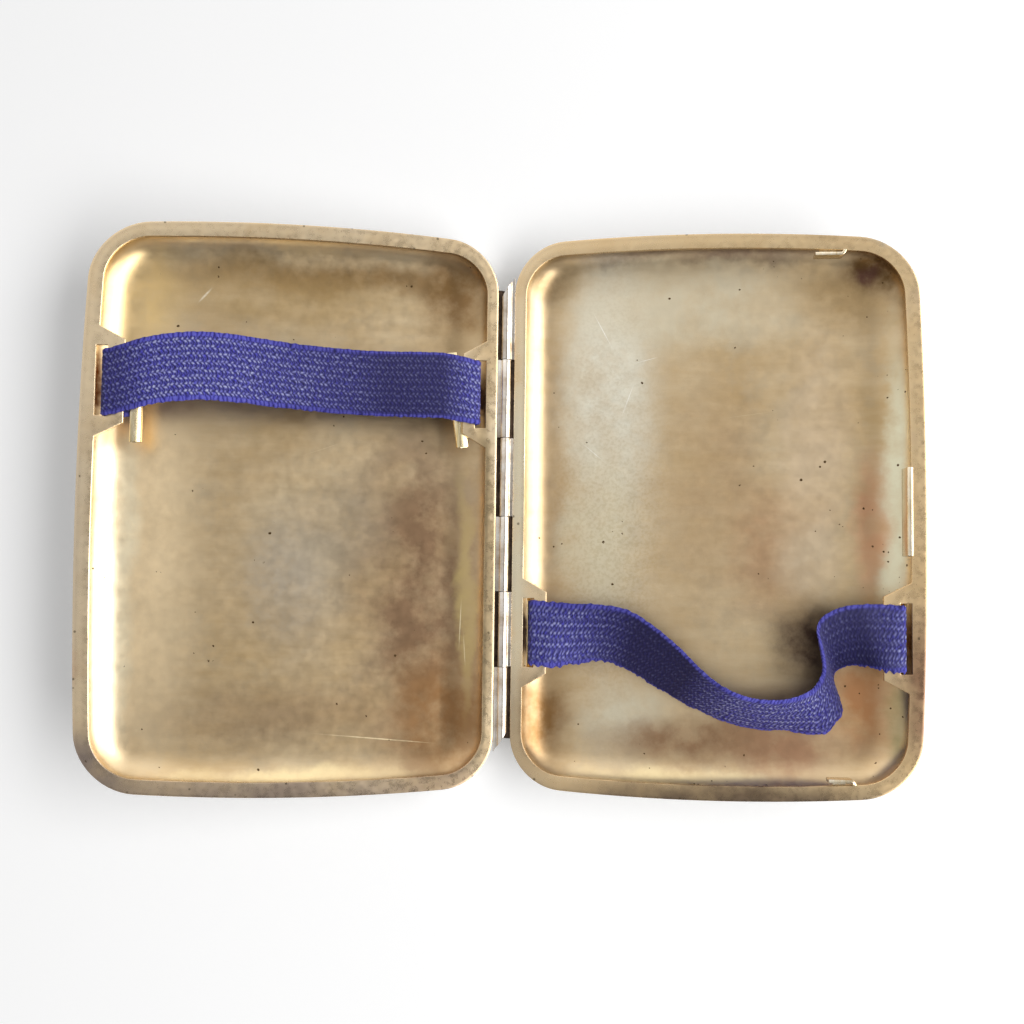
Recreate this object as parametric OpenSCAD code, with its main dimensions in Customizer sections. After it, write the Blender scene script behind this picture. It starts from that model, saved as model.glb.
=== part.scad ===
// Hinged pocket cigarette case, lying open with its two trays facing up.
// Each half is drawn flat in its own frame, then set at the angle it opens to:
// X runs from the hinge axis outwards, Y along the hinge and Z up out of the tray,
// with Z = 0 on the plane where the two rims meet when the case is shut.

/* [Cover] */
// Width of one half, from its hinge edge to its catch edge
cover_w = 78; // [74:1:84]
// Length of the case along the hinge
cover_l = 108.2; // [104:0.2:114]
// Depth of one half, from the rim to the flat of its back
cover_d = 8.8; // [7.5:0.1:10]
// Thickness of the silver sheet
sheet_t = 0.5; // [0.4:0.1:0.7]
// Width of the rounded edge between side wall and back, seen from above
edge_w = 9.4; // [8.4:0.2:9.4]
// How full that edge is: 2 is a plain ellipse, and more is squarer
edge_full = 2.5; // [2:0.1:3]
// Corner radius beside the hinge, seen from above
hinge_corner_r = 9.8; // [9.6:0.2:12]
// Corner radius beside the catch, seen from above
catch_corner_r = 10.7; // [9.6:0.1:13]
// How far the two ends bow out at mid width
end_bow = 1.9; // [0:0.1:2.5]
// How much narrower a half is at its ends than at mid length
side_bow = 1.5; // [0:0.1:2]

/* [Rim] */
// Width of the gilt rim on the ends and the catch side
rim_w = 2.85; // [2.2:0.05:3.2]
// Width of the gilt rim on the hinge side
rim_hinge_w = 2.25; // [2:0.05:2.6]
// Thickness of the rim plate
rim_t = 0.9; // [0.7:0.1:1]
// How far an ear reaches in from the catch-side rim
ear_catch = 5.2; // [4.8:0.1:6]
// How far an ear reaches in from the hinge-side rim
ear_hinge = 4.5; // [4.4:0.1:5.4]
// Length of an ear's straight edge
ear_flat = 15.6; // [14.5:0.1:17]
// Length of an ear where its slanted ends meet the rim
ear_base = 22; // [20:0.5:24]
// Width of the slot that the strap goes down through
slot_w = 2.1; // [2:0.05:2.3]
// Length of that slot
slot_l = 13.2; // [13:0.1:14]

/* [Hinge] */
// Distance from the hinge axis to the edge of each half
axis_gap = 1.6; // [1.5:0.05:1.8]
// How far each half stands up from flat when the hinge is against its stop
open_tilt = 7.3; // [2:0.1:12]
// Outer radius of a knuckle
knuckle_r = 1.0; // [0.9:0.02:1.04]
// Radius of the hole through a knuckle
knuckle_hole_r = 0.5; // [0.45:0.01:0.55]
// Radius of the hinge pin
pin_r = 0.45; // [0.4:0.01:0.46]
// Half the length of the bearer strips
bearer_half_l = 43.5; // [40:0.5:44]

/* [Straps] */
// Width of the elastic tape
tape_w = 12.7; // [12:0.1:12.8]
// Thickness of the elastic tape
tape_t = 0.8; // [0.6:0.1:0.9]
// Length of the metal clip on each end of a tape
clip_l = 18.6; // [16:0.2:20]
// Width of a clip, from its mouth to its fold
clip_w = 2.3; // [2.2:0.1:2.8]

/* [Catch] */
// Length of the catch lip
catch_l = 16.6; // [12:0.2:20]
// Height of the catch lip above the rim
catch_h = 2.2; // [1.6:0.1:2.6]
// Height of the locating lugs above the rim
lug_h = 1.1; // [0.8:0.1:1.6]

/* [Hidden] */

SILVER = "#c9c6c0";
GILT = "#c9ab74";
ELASTIC = "#3b2f8c";

// Small gaps: half of the gap between the shut rims, and the gap round a soldered plate
rim_gap = 0.05;
seat_gap = 0.01;

// Underside of the rim plate, and how deep the cover's wall is upright on its outer and inner face
under_rim = -rim_gap - rim_t;
outer_upright = 0.4;
inner_upright = seat_gap - under_rim;

half_l = cover_l / 2;
arc_steps = 7;
end_steps = 6;
side_steps = 8;
edge_steps = 8;

// Places along the hinge where one knuckle stops and the next begins
knuckle_joints = [29.7, 14.4, -0.9, -15.4, -29.8];
knuckle_play = 0.05;
cove_r = knuckle_r + 0.08;
tube_fn = 64;
bearer_top = -0.7;
bearer_out_r = 2.35;
stop_gap = 0.015;

// Middle of each strap along the hinge
left_strap_y = 22.8;
right_strap_y = -23.2;

// Height of the hinge axis above what the open case rests on. Each half lies on its rounded edge,
// and edge_reach is how far that edge goes straight down from the middle of its curve
edge_dual = edge_full / (edge_full - 1);
edge_reach = pow(pow(edge_w * sin(open_tilt), edge_dual)
    + pow((cover_d - outer_upright) * cos(open_tilt), edge_dual), 1 / edge_dual);
rest_z = edge_reach + outer_upright * cos(open_tilt) - (axis_gap + edge_w) * sin(open_tilt);

// A point of a half's plan, u from the hinge edge and v from mid length, after the bow
function bowed(u, v) =
    let (end = 1 - end_bow / half_l * pow((u - cover_w / 2) / (cover_w / 2), 2),
         side = 1 - side_bow / cover_w * pow(v / half_l, 2))
    [axis_gap + u * side, v * end];

// Points of a straight edge between two corners, without its ends
function edge_points(a, b, steps) = [for (i = [1:steps - 1]) a + (b - a) * i / steps];

function corner_points(cx, cy, r, from) =
    [for (i = [0:arc_steps]) let (a = from + 90 * i / arc_steps) [cx + r * cos(a), cy + r * sin(a)]];

// Rounded plan of a half between u = lo and u = hi, with its length reduced by cut at both ends
function plan(lo, hi, cut, rh, rc) =
    let (h = half_l - cut,
         raw = concat(
            corner_points(hi - rc, -h + rc, rc, -90),
            edge_points([hi, -h + rc], [hi, h - rc], side_steps),
            corner_points(hi - rc, h - rc, rc, 0),
            edge_points([hi - rc, h], [lo + rh, h], end_steps),
            corner_points(lo + rh, h - rh, rh, 90),
            edge_points([lo, h - rh], [lo, -h + rh], side_steps),
            corner_points(lo + rh, -h + rh, rh, 180),
            edge_points([lo + rh, -h], [hi - rc, -h], end_steps)))
    [for (p = raw) bowed(p[0], p[1])];

function cover_plan(inset) =
    plan(inset, cover_w - inset, inset, hinge_corner_r - inset, catch_corner_r - inset);

function opening_plan() =
    plan(rim_hinge_w, cover_w - rim_w, rim_w, hinge_corner_r - rim_hinge_w, catch_corner_r - rim_w);

function lifted(points, z) = [for (p = points) [p[0], p[1], z]];

// One ring of the cover's wall: t is how far in from the outer face, a the angle round its edge
function full(x) = pow(x, 2 / edge_full);
function wall_ring(t, upright, a) = lifted(
    cover_plan(t + (edge_w - t) * (1 - full(cos(a)))), -upright - (cover_d - t - upright) * full(sin(a)));

// Closed skin over rings of equal length, capped at its first and last ring
module skin(rings) {
    n = len(rings[0]);
    m = len(rings);
    points = [for (r = rings) for (p = r) p];
    sides = [for (j = [0:m - 2]) for (i = [0:n - 1])
        let (a = j * n + i, b = j * n + (i + 1) % n)
        for (f = [[a, b, b + n], [a, b + n, a + n]]) f];
    first = [for (i = [n - 1:-1:0]) i];
    last = [for (i = [0:n - 1]) (m - 1) * n + i];
    polyhedron(points, concat(sides, [first, last]));
}

// One half of the case is drawn for the right hand and mirrored for the left
module right_half() {
    translate([0, 0, rest_z]) rotate([0, -open_tilt, 0]) children();
}

module left_half() {
    translate([0, 0, rest_z]) mirror([1, 0, 0]) rotate([0, -open_tilt, 0]) children();
}

// Drawn cover of sheet silver: a flat back, full rounded edges and a short upright wall
module shell() {
    outer = [for (i = [edge_steps:-1:0]) wall_ring(0, outer_upright, 90 * i / edge_steps)];
    inner = [for (i = [0:edge_steps]) wall_ring(sheet_t, inner_upright, 90 * i / edge_steps)];
    top = [lifted(cover_plan(0), -rim_gap), lifted(cover_plan(sheet_t), -rim_gap)];
    color(SILVER) skin(concat(outer, top, inner));
}

// Plan of the two ears of one rim, whose straight edges the tape folds over
module ear_plans(strap_y) {
    root_lap = 1;
    reach_c = cover_w - rim_w - ear_catch;
    reach_h = rim_hinge_w + ear_hinge;
    root_c = cover_w - rim_w + root_lap;
    root_h = rim_hinge_w - root_lap;
    translate([axis_gap, strap_y]) {
        polygon([[root_c, -ear_base / 2], [root_c, ear_base / 2], [reach_c, ear_flat / 2],
            [reach_c, -ear_flat / 2]]);
        polygon([[root_h, ear_base / 2], [root_h, -ear_base / 2], [reach_h, -ear_flat / 2],
            [reach_h, ear_flat / 2]]);
    }
}

module slot_plans(strap_y) {
    for (u = [rim_hinge_w, cover_w - rim_w - slot_w])
        translate([axis_gap + u, strap_y - slot_l / 2]) square([slot_w, slot_l]);
}

// Flat gilt rim, let into the top of the cover, with its ears and their slots
module rim(strap_y) {
    color(GILT) translate([0, 0, under_rim]) linear_extrude(rim_t) difference() {
        polygon(cover_plan(sheet_t + seat_gap));
        difference() {
            polygon(opening_plan());
            ear_plans(strap_y);
        }
        slot_plans(strap_y);
    }
}

// Point at distance r from the hinge axis, a degrees past the upright stop plane
function from_stop(r, a) = [r * cos(a - 90 - open_tilt), r * sin(a - 90 - open_tilt)];

// Coved strip along the hinge edge. Its lower lips meet under the knuckles and stop the hinge
module bearer() {
    wall_x = axis_gap - seat_gap;
    foot_z = -1.75;
    swing = 48;
    steps = 4;
    lip = stop_gap * [cos(open_tilt), -sin(open_tilt)];
    section = concat(
        [[wall_x, bearer_top], [knuckle_hole_r, bearer_top], from_stop(knuckle_hole_r, 0) + lip],
        [from_stop(bearer_out_r, 0) + lip],
        [for (i = [1:steps]) from_stop(bearer_out_r, swing * i / steps)],
        [[wall_x, foot_z]]);
    color(SILVER) difference() {
        rotate([90, 0, 0]) linear_extrude(2 * bearer_half_l, center = true) polygon(section);
        rotate([90, 0, 0]) cylinder(h = 3 * bearer_half_l, r = cove_r, center = true, $fn = tube_fn);
    }
}

// Length of tube round the pin, soldered to its own half by a flat web at rim level
module knuckle(low, high) {
    mid = (low + high) / 2;
    long = high - low - 2 * knuckle_play;
    web_x = 0.6;
    web_z = bearer_top + seat_gap;
    color(SILVER) translate([0, mid, 0]) rotate([90, 0, 0]) difference() {
        union() {
            cylinder(h = long, r = knuckle_r, center = true, $fn = tube_fn);
            translate([web_x, web_z, -long / 2])
                cube([axis_gap - seat_gap - web_x, -rim_gap - web_z, long]);
        }
        cylinder(h = 2 * long, r = knuckle_hole_r, center = true, $fn = tube_fn);
    }
}

// The two end knuckles run past the last joint and are filed back at a slant to the corner curve
end_knuckle_y = 46;
end_slant = 58;

module end_knuckle(inner_y, sign) {
    cut = [20, 6, 10];
    difference() {
        knuckle(min(inner_y, sign * end_knuckle_y), max(inner_y, sign * end_knuckle_y));
        translate([axis_gap, sign * end_knuckle_y, 0]) rotate([0, 0, sign * end_slant])
            translate([-cut[0] / 2, sign > 0 ? 0 : -cut[1], -cut[2] / 2]) cube(cut);
    }
}

// Plain wire pin through all the knuckles
module pin() {
    pin_half_l = 41;
    color(SILVER) translate([0, 0, rest_z]) rotate([90, 0, 0])
        cylinder(h = 2 * pin_half_l, r = pin_r, center = true, $fn = tube_fn);
}

// Smooth curve through hand-picked stations, each [u, v, z] of one edge of a tape
function spline(p, i, t) =
    let (n = len(p) - 1, a = p[max(i - 1, 0)], b = p[i], c = p[i + 1], d = p[min(i + 2, n)])
    0.5 * ((2 * b) + (c - a) * t + (2 * a - 5 * b + 4 * c - d) * t * t
        + (3 * b - a - 3 * c + d) * t * t * t);

function curve(p, steps) = concat(
    [for (i = [0:len(p) - 2]) for (k = [0:steps - 1]) spline(p, i, k / steps)], [p[len(p) - 1]]);

function unit(v) = v / norm(v);

// One section of a tape between its edge points a and b, going along the direction d
function tape_ring(a, b, d) =
    let (n = unit(cross(d, b - a)), h = tape_t / 2, s = unit(b - a) * h, e = h / 2)
    [a + n * e, a + s + n * h, b - s + n * h, b + n * e,
     b - n * e, b - s - n * h, a + s - n * h, a - n * e];

// Elastic tape between two lists of stations, one for each of its long edges
module tape(stations) {
    steps = 2;
    far = curve([for (s = stations) [axis_gap + s[0], s[1], s[2]]], steps);
    near = curve([for (s = stations) [axis_gap + s[3], s[4], s[5]]], steps);
    n = len(far) - 1;
    color(ELASTIC) skin([for (i = [0:n])
        tape_ring(far[i], near[i], (far[min(i + 1, n)] + near[min(i + 1, n)]
            - far[max(i - 1, 0)] - near[max(i - 1, 0)]))]);
}

// Half the breadth of a tape as its edges are drawn, and its play against the rim plate
tape_half_w = tape_w / 2 - 0.1;
tape_play = 0.05;

// Middle height of the rim plate, and the radius at which the tape goes round the slot's inner edge
bend_z = -rim_gap - rim_t / 2;
bend_r = rim_t / 2 + tape_play + tape_t / 2;
bend_in = 0.2;
bend_catch_u = cover_w - rim_w - slot_w - bend_in;
bend_hinge_u = rim_hinge_w + slot_w + bend_in;
bend_steps = 4;

// A station straight across the tape at u, with its middle at y. Lean puts its far edge further out
function across(u, y, z, lean = 0) = [u + lean, y + tape_half_w, z, u - lean, y - tape_half_w, z];

// Stations where the tape goes round an ear's edge, from angle a0 to a1, side +1 at the catch side
function bend(u, side, a0, a1, y) = [for (i = [0:bend_steps]) let (a = a0 + (a1 - a0) * i / bend_steps)
    across(u + side * bend_r * cos(a), y, bend_z + bend_r * sin(a))];

// Left tape, pulled back under both ears, from the outer clip to the hinge clip
left_tape_span = [
    [70.7, 29.4, 0.9, 70.4, 16.8, 0.7],
    [67, 30.6, 1.6, 66.7, 17.9, 1.3],
    [62.5, 31.5, 2.3, 62.2, 18.8, 2],
    [57.5, 32, 2.9, 57.3, 19.3, 2.4],
    [51.5, 31.9, 3.1, 51.3, 19.3, 2.4],
    [45, 31.2, 3, 44.8, 18.8, 1.8],
    [38.5, 30.5, 2.9, 38.3, 18.4, 0.9],
    [32, 30.1, 2.8, 31.8, 18.1, 0.1],
    [25, 29.9, 2.4, 24.8, 17.9, -0.3],
    [18, 30.1, 2, 17.8, 17.8, 0.2],
    [11.5, 30.3, 1.4, 11.3, 17.7, 0.9],
    [7.3, 29.9, 0.9, 7.1, 17.2, 0.7]
];

// Right tape, gone slack: it drops into the tray, stands on edge, and climbs to the other ear
right_tape_span = [
    [8, -17.2, 0.8, 7.8, -29.8, 0.6],
    [12, -17.5, 1.7, 11.5, -29.3, -2],
    [17, -17.6, 2.2, 16.2, -28.7, -3.8],
    [22.5, -18.6, 2.6, 20.4, -29.4, -4.4],
    [27.5, -21.7, 2.8, 24.2, -31.4, -5.2],
    [32, -25.4, 2.8, 28.2, -33.8, -6.2],
    [36.2, -29.6, 2.8, 32.5, -36.2, -7.1],
    [40, -32.5, 2.8, 36.8, -38.3, -7.5],
    [44.5, -34.4, 2.8, 42.2, -40.3, -7.6],
    [49.5, -34.9, 2.7, 48.3, -41.4, -7.6],
    [53.5, -34.2, 2.6, 54.2, -41.8, -7.5],
    [56.4, -32.6, 2.8, 60.1, -41.9, -7.1],
    [57.8, -30.6, 3.2, 63.2, -38.4, -6.7],
    [58.3, -28.6, 3.8, 62.8, -35.4, -6.7],
    [58.1, -26.4, 4.1, 61.8, -32.4, -6.9],
    [57.6, -24, 4.1, 61.8, -30.4, -6.6],
    [57.1, -21.4, 4, 63, -29.2, -5.4],
    [58.2, -19.2, 3.6, 64.6, -28.7, -3.8],
    [61.4, -17.5, 3, 66.5, -28.6, -2.2],
    [65.5, -16.9, 2.2, 68.5, -28.9, -0.4],
    [69.4, -16.8, 1, 70.4, -29.4, 0.55]
];

// Section of a clip, and where the four clips sit. The left hinge clip has slewed round on its tape
clip_t = 1.6;
clip_cut = 1.05;
clip_wall = 0.9;
outer_clip_shift = -1.9;
hinge_clip_shift = -1.3;
slack_clip_top = -2;
outer_clip_u = 66.7;
outer_clip_z = bend_z - bend_r;
hinge_clip_u = 6.75;
hinge_clip_z = -1.85;
hinge_clip_slew = -8;

// How far a tape's end goes into its clip
grip = 1.2;

// The left tape lies a little askew between its slots
left_askew = 0.3;

module left_tape() {
    outer_y = left_strap_y - left_askew;
    hinge_y = left_strap_y + left_askew;
    lean = -tape_half_w * sin(hinge_clip_slew);
    mouth_u = hinge_clip_u - 0.1;
    tape(concat(
        [across(outer_clip_u + clip_w - grip, outer_y, outer_clip_z)],
        bend(bend_catch_u, 1, -90, 90, outer_y),
        left_tape_span,
        bend(bend_hinge_u, -1, 90, -90, hinge_y),
        [for (u = [mouth_u, mouth_u + grip]) across(u, hinge_y, hinge_clip_z, lean)]));
}

module right_tape() {
    y = right_strap_y;
    foot = slack_clip_top - grip;
    tape(concat(
        [across(bend_hinge_u - bend_r, y, foot)],
        bend(bend_hinge_u, -1, 0, 90, y),
        right_tape_span,
        bend(bend_catch_u, 1, 90, 0, y),
        [across(bend_catch_u + bend_r, y, foot)]));
}

// Folded strip that grips the end of a tape: a U in section, its mouth towards +X
module clip() {
    r = clip_t / 2;
    c = clip_cut / 2;
    steps = 8;
    nose = [for (i = [0:steps]) let (a = 90 + 180 * i / steps) [r + r * cos(a), r * sin(a)]];
    mouth = [[clip_w, -r], [clip_w, -c], [clip_wall, -c], [clip_wall, c], [clip_w, c]];
    color(GILT) rotate([90, 0, 0]) linear_extrude(clip_l, center = true)
        polygon(concat([[clip_w, r]], nose, mouth));
}

// Spring lip soldered under the rim of the right half, which snaps inside the left rim
module catch() {
    blade_t = 1.2;
    rim_play = 0.1;
    foot_l = 1.3;
    foot_t = 0.6;
    depth = 2.4;
    top_r = 0.3;
    under = under_rim - seat_gap;
    y_mid = 0.5;
    inner_x = axis_gap + cover_w - rim_w - rim_play - blade_t;
    section = [[0, -depth], [blade_t, -depth], [blade_t, under - foot_t],
        [blade_t + foot_l, under - foot_t], [blade_t + foot_l, under], [blade_t, under],
        [blade_t, catch_h - top_r], [blade_t - top_r, catch_h], [top_r, catch_h], [0, catch_h - top_r]];
    color(GILT) translate([inner_x, y_mid, 0]) rotate([90, 0, 0])
        linear_extrude(catch_l, center = true) polygon(section);
}

// Bent strip that stands just inside the rim and centres the shut halves; side +1 is the upper end
module lug(u_from, u_to, side) {
    t = 0.6;
    face_y = 49.9;
    bend_out = 1.0;
    gap_to_rim = 0.15;
    steps = 6;
    foot_in = 1;
    foot_out = 1.6;
    foot_reach = 1.9;
    foot_t = 0.5;
    foot_lap = 0.05;
    depth = 1;
    under = under_rim - seat_gap;
    rim_y = bowed(u_to, half_l - rim_w)[1] - gap_to_rim;
    centre = [u_to - bend_out, face_y - t + bend_out];
    function arc(r, i) = let (a = -90 + 90 * i / steps) centre + r * [cos(a), sin(a)];
    outer = [for (i = [0:steps]) arc(bend_out, i)];
    inner = [for (i = [steps:-1:0]) arc(bend_out - t, i)];
    strip = concat([[u_from, face_y], [u_from, face_y - t]], outer,
        [[u_to, rim_y], [u_to - t, rim_y]], inner);
    color(GILT) translate([axis_gap, 0, 0]) mirror([0, side > 0 ? 0 : 1, 0]) {
        translate([0, 0, under - depth]) linear_extrude(lug_h - under + depth) polygon(strip);
        translate([u_from + foot_in, face_y - foot_lap, under - foot_t])
            cube([u_to - foot_out - u_from - foot_in, foot_reach + foot_lap, foot_t]);
    }
}

module left_shell() left_half() shell();
module right_shell() right_half() shell();
module left_frame() left_half() rim(left_strap_y);
module right_frame() right_half() rim(right_strap_y);
module left_bearer() left_half() bearer();
module right_bearer() right_half() bearer();

module right_knuckle_upper() right_half() end_knuckle(knuckle_joints[0], 1);
module left_knuckle_upper() left_half() knuckle(knuckle_joints[1], knuckle_joints[0]);
module right_knuckle_middle() right_half() knuckle(knuckle_joints[2], knuckle_joints[1]);
module left_knuckle_middle() left_half() knuckle(knuckle_joints[3], knuckle_joints[2]);
module right_knuckle_lower() right_half() knuckle(knuckle_joints[4], knuckle_joints[3]);
module left_knuckle_lower() left_half() end_knuckle(knuckle_joints[4], -1);
module hinge_pin() pin();

module left_strap() left_half() left_tape();
module right_strap() right_half() right_tape();

module left_strap_clip_outer() left_half()
    translate([axis_gap + outer_clip_u, left_strap_y + outer_clip_shift, outer_clip_z]) clip();
module left_strap_clip_hinge() left_half()
    translate([axis_gap + hinge_clip_u + clip_w, left_strap_y + hinge_clip_shift, hinge_clip_z])
        rotate([0, 0, hinge_clip_slew]) mirror([1, 0, 0]) clip();
module right_strap_clip_outer() right_half()
    translate([axis_gap + bend_catch_u + bend_r, right_strap_y, slack_clip_top - clip_w])
        rotate([0, -90, 0]) clip();
module right_strap_clip_hinge() right_half()
    translate([axis_gap + bend_hinge_u - bend_r, right_strap_y, slack_clip_top - clip_w])
        rotate([0, -90, 0]) clip();

module catch_lip() right_half() catch();
module locating_lug_upper() right_half() lug(57.4, 63.2, 1);
module locating_lug_lower() right_half() lug(59.6, 64.6, -1);

left_shell();
left_frame();
left_bearer();
left_knuckle_upper();
left_knuckle_middle();
left_knuckle_lower();
left_strap();
left_strap_clip_outer();
left_strap_clip_hinge();
hinge_pin();
right_shell();
right_frame();
right_bearer();
right_knuckle_upper();
right_knuckle_middle();
right_knuckle_lower();
right_strap();
right_strap_clip_outer();
right_strap_clip_hinge();
catch_lip();
locating_lug_upper();
locating_lug_lower();
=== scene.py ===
import math

import bmesh
import bpy
from mathutils import Matrix, Vector, noise


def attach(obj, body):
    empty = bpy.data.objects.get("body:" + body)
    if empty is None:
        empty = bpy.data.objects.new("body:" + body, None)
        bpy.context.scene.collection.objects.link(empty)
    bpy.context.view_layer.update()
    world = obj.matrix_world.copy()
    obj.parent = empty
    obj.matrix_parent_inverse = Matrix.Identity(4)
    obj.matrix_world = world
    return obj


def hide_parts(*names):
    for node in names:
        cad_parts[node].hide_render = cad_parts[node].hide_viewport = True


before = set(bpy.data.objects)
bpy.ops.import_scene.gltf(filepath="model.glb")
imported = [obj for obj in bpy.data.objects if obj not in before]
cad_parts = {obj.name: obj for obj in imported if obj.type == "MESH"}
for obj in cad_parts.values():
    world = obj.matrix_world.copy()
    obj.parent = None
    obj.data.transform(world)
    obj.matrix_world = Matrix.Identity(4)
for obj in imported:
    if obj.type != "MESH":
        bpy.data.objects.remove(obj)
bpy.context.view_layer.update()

# Camera above the open case, as for a catalogue picture: about 24 cm over the table, a little left
# of the hinge and nearly plumb, with a short standard lens.
mm = 0.001
camera_place = (-5.36 * mm, -13.43 * mm, 238 * mm)
camera_turn = [math.radians(a) for a in (3.313, -1.746, 0.727)]
bpy.ops.object.camera_add(location=camera_place, rotation=camera_turn)
camera = bpy.context.object
camera.data.lens = 41.94
camera.data.sensor_width = 36
camera.data.clip_start = 10 * mm
bpy.context.scene.camera = camera
bpy.context.scene.view_settings.view_transform = "Standard"


# Table top and studio. The case lies on a sweep of white card under one long soft lamp, which hangs
# above it to the right, so that its shadow falls to the left. The gilding mirrors a pale room: its
# right wall is brightest low down, the one behind the card is light, and the camera's side is dim.
card_size = 3.0
card_drop = 0.05 * mm
near_glow = 0.2
far_glow = 0.8
glow_from = 0.25
glow_to = 1.2
room_light = 0.32
lamp_length = 1.1
lamp_width = 0.4
lamp_power = 6.1
lamp_place = Vector((0.49, -0.10, 0.62))


def linear(colour):
    """The linear RGBA of an sRGB hex colour."""
    parts = [int(colour[i:i + 2], 16) / 255 for i in (1, 3, 5)]
    return (*[c / 12.92 if c <= 0.04045 else ((c + 0.055) / 1.055) ** 2.4 for c in parts], 1.0)


def add(tree, kind, inputs=(), stops=(), **settings):
    """Adds a shader node with its settings and the stops of its colour ramp.

    An input takes a number, a hex colour, a socket, or a node, whose first output it then reads.
    """
    node = tree.nodes.new("ShaderNode" + kind)
    for name, value in settings.items():
        setattr(node, name, value)
    for key, value in dict(inputs).items():
        if isinstance(value, bpy.types.Node):
            value = value.outputs[0]
        if isinstance(value, bpy.types.NodeSocket):
            tree.links.new(value, node.inputs[key])
        else:
            node.inputs[key].default_value = linear(value) if isinstance(value, str) else value
    if stops:
        node.color_ramp.elements.remove(node.color_ramp.elements[0])
        node.color_ramp.elements[0].position = stops[0][0]
        for place, _ in stops[1:]:
            node.color_ramp.elements.new(place)
        for element, (_, colour) in zip(node.color_ramp.elements, stops):
            element.color = linear(colour)
    return node


def material(name):
    """A new material, and its node tree, emptied."""
    made = bpy.data.materials.new(name)
    made.use_nodes = True
    made.node_tree.nodes.clear()
    return made, made.node_tree


bpy.ops.object.select_all(action="DESELECT")
bpy.ops.mesh.primitive_plane_add(size=card_size, location=(0, 0, -card_drop))
card = bpy.context.object
card.name = "card"
card_white, tree = material("white_card")
# Matt white card. The camera and the metal also see it glow, a little near the case and more far off
path = add(tree, "LightPath")
seen = add(tree, "Math", {0: path.outputs["Is Camera Ray"], 1: path.outputs["Is Glossy Ray"]},
           operation="MAXIMUM")
apart = add(tree, "VectorMath", {0: add(tree, "TexCoord").outputs["Object"]}, operation="LENGTH")
spread = add(tree, "MapRange", {0: apart.outputs["Value"], 1: glow_from, 2: glow_to, 3: near_glow,
                                4: far_glow}, interpolation_type="SMOOTHSTEP")
strength = add(tree, "Math", {0: seen, 1: spread}, operation="MULTIPLY")
matt = add(tree, "BsdfDiffuse", {"Color": "#f4f4f4"})
glow = add(tree, "Emission", {"Color": "#ffffff", "Strength": strength})
add(tree, "OutputMaterial", {"Surface": add(tree, "AddShader", {0: matt, 1: glow})})
card.data.materials.append(card_white)

world = bpy.data.worlds.new("studio")
bpy.context.scene.world = world
world.use_nodes = True
tree = world.node_tree
tree.nodes.clear()
path = add(tree, "LightPath")
towards = add(tree, "SeparateXYZ", {0: add(tree, "TexCoord").outputs["Generated"]})
# What the metal mirrors, by where it looks: along which axis, from and to where, and the light at each
room = {
    "overhead, left to right": ("X", -0.28, 0.26, 0.86, 0.3),
    "right wall": ("X", 0.36, 0.62, 0.0, 0.9),
    "right wall, low down": ("X", 0.72, 0.95, 0.0, 3.2),
    "behind the card": ("Y", 0.05, 0.85, 0.0, 0.85),
    "camera's side": ("Y", -0.6, -0.05, -0.38, 0.0),
    "camera's side, low down": ("Y", -1.0, -0.75, 0.9, 0.0),
}
mirrored = 0.0
for part, (axis, start, end, at_start, at_end) in room.items():
    light = add(tree, "MapRange", {0: towards.outputs[axis], 1: start, 2: end, 3: at_start, 4: at_end},
                interpolation_type="SMOOTHSTEP", label=part)
    mirrored = add(tree, "Math", {0: mirrored, 1: light}, operation="ADD")
glossy = add(tree, "Mix", {0: path.outputs["Is Glossy Ray"], 2: room_light, 3: mirrored})
seen = add(tree, "Mix", {0: path.outputs["Is Camera Ray"], 2: glossy, 3: 1.0})
sky = add(tree, "Background", {"Color": "#ffffff", "Strength": seen})
add(tree, "OutputWorld", {"Surface": sky})

bpy.ops.object.light_add(type="AREA", location=lamp_place,
                         rotation=lamp_place.to_track_quat("Z", "Y").to_euler())
lamp = bpy.context.object
lamp.data.shape = "RECTANGLE"
lamp.data.size = lamp_length
lamp.data.size_y = lamp_width
lamp.data.energy = lamp_power


# Covers: two shallow trays drawn from half-millimetre silver sheet, with a wide rounded edge and a
# bowed outline, polished outside and parcel-gilt inside. The gilding is old: worn thin to a pale
# greenish silver in one place, browned by handling in others, and specked where salts have come up.
# Painted shade and painted highlights lie over it where walls, ears and elastic shade or catch light.
cover_w = 78 * mm
cover_l = 108.2 * mm
cover_d = 8.8 * mm
sheet_t = 0.5 * mm
edge_w = 9.4 * mm
edge_full = 2.5
outer_upright = 0.4 * mm
hinge_corner_r = 9.8 * mm
catch_corner_r = 10.7 * mm
end_bow = 1.9 * mm
side_bow = 1.5 * mm
axis_gap = 1.6 * mm
rim_gap = 0.05 * mm
lip_t = 0.3 * mm
seat_gap = 0.01 * mm
open_tilt = math.radians(7.3)
cover_arris = 0.05 * mm
corner_steps = 14
side_steps = 30
end_steps = 24
wall_rings = 18
back_rings = (0.985, 0.97, 0.94, 0.93, 0.92, 0.91, 0.9, 0.88, 0.86, 0.82, 0.78, 0.7, 0.5)
half_l = cover_l / 2
under_lip = -rim_gap - lip_t
edge_dual = edge_full / (edge_full - 1)
edge_down = ((edge_w * math.sin(open_tilt)) ** edge_dual
             + ((cover_d - outer_upright) * math.cos(open_tilt)) ** edge_dual) ** (1 / edge_dual)
rest_z = edge_down + outer_upright * math.cos(open_tilt) - (axis_gap + edge_w) * math.sin(open_tilt)

# Each half is modelled flat, as a right half: X out from the hinge axis, Z up out of the tray
lift = Matrix.Translation((0, 0, rest_z))
tilt = Matrix.Rotation(-open_tilt, 4, "Y")
onto_half = {"left": lift @ Matrix.Scale(-1, 4, (1, 0, 0)) @ tilt, "right": lift @ tilt}
bodies = {"left": "left_half", "right": "right_half"}


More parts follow.
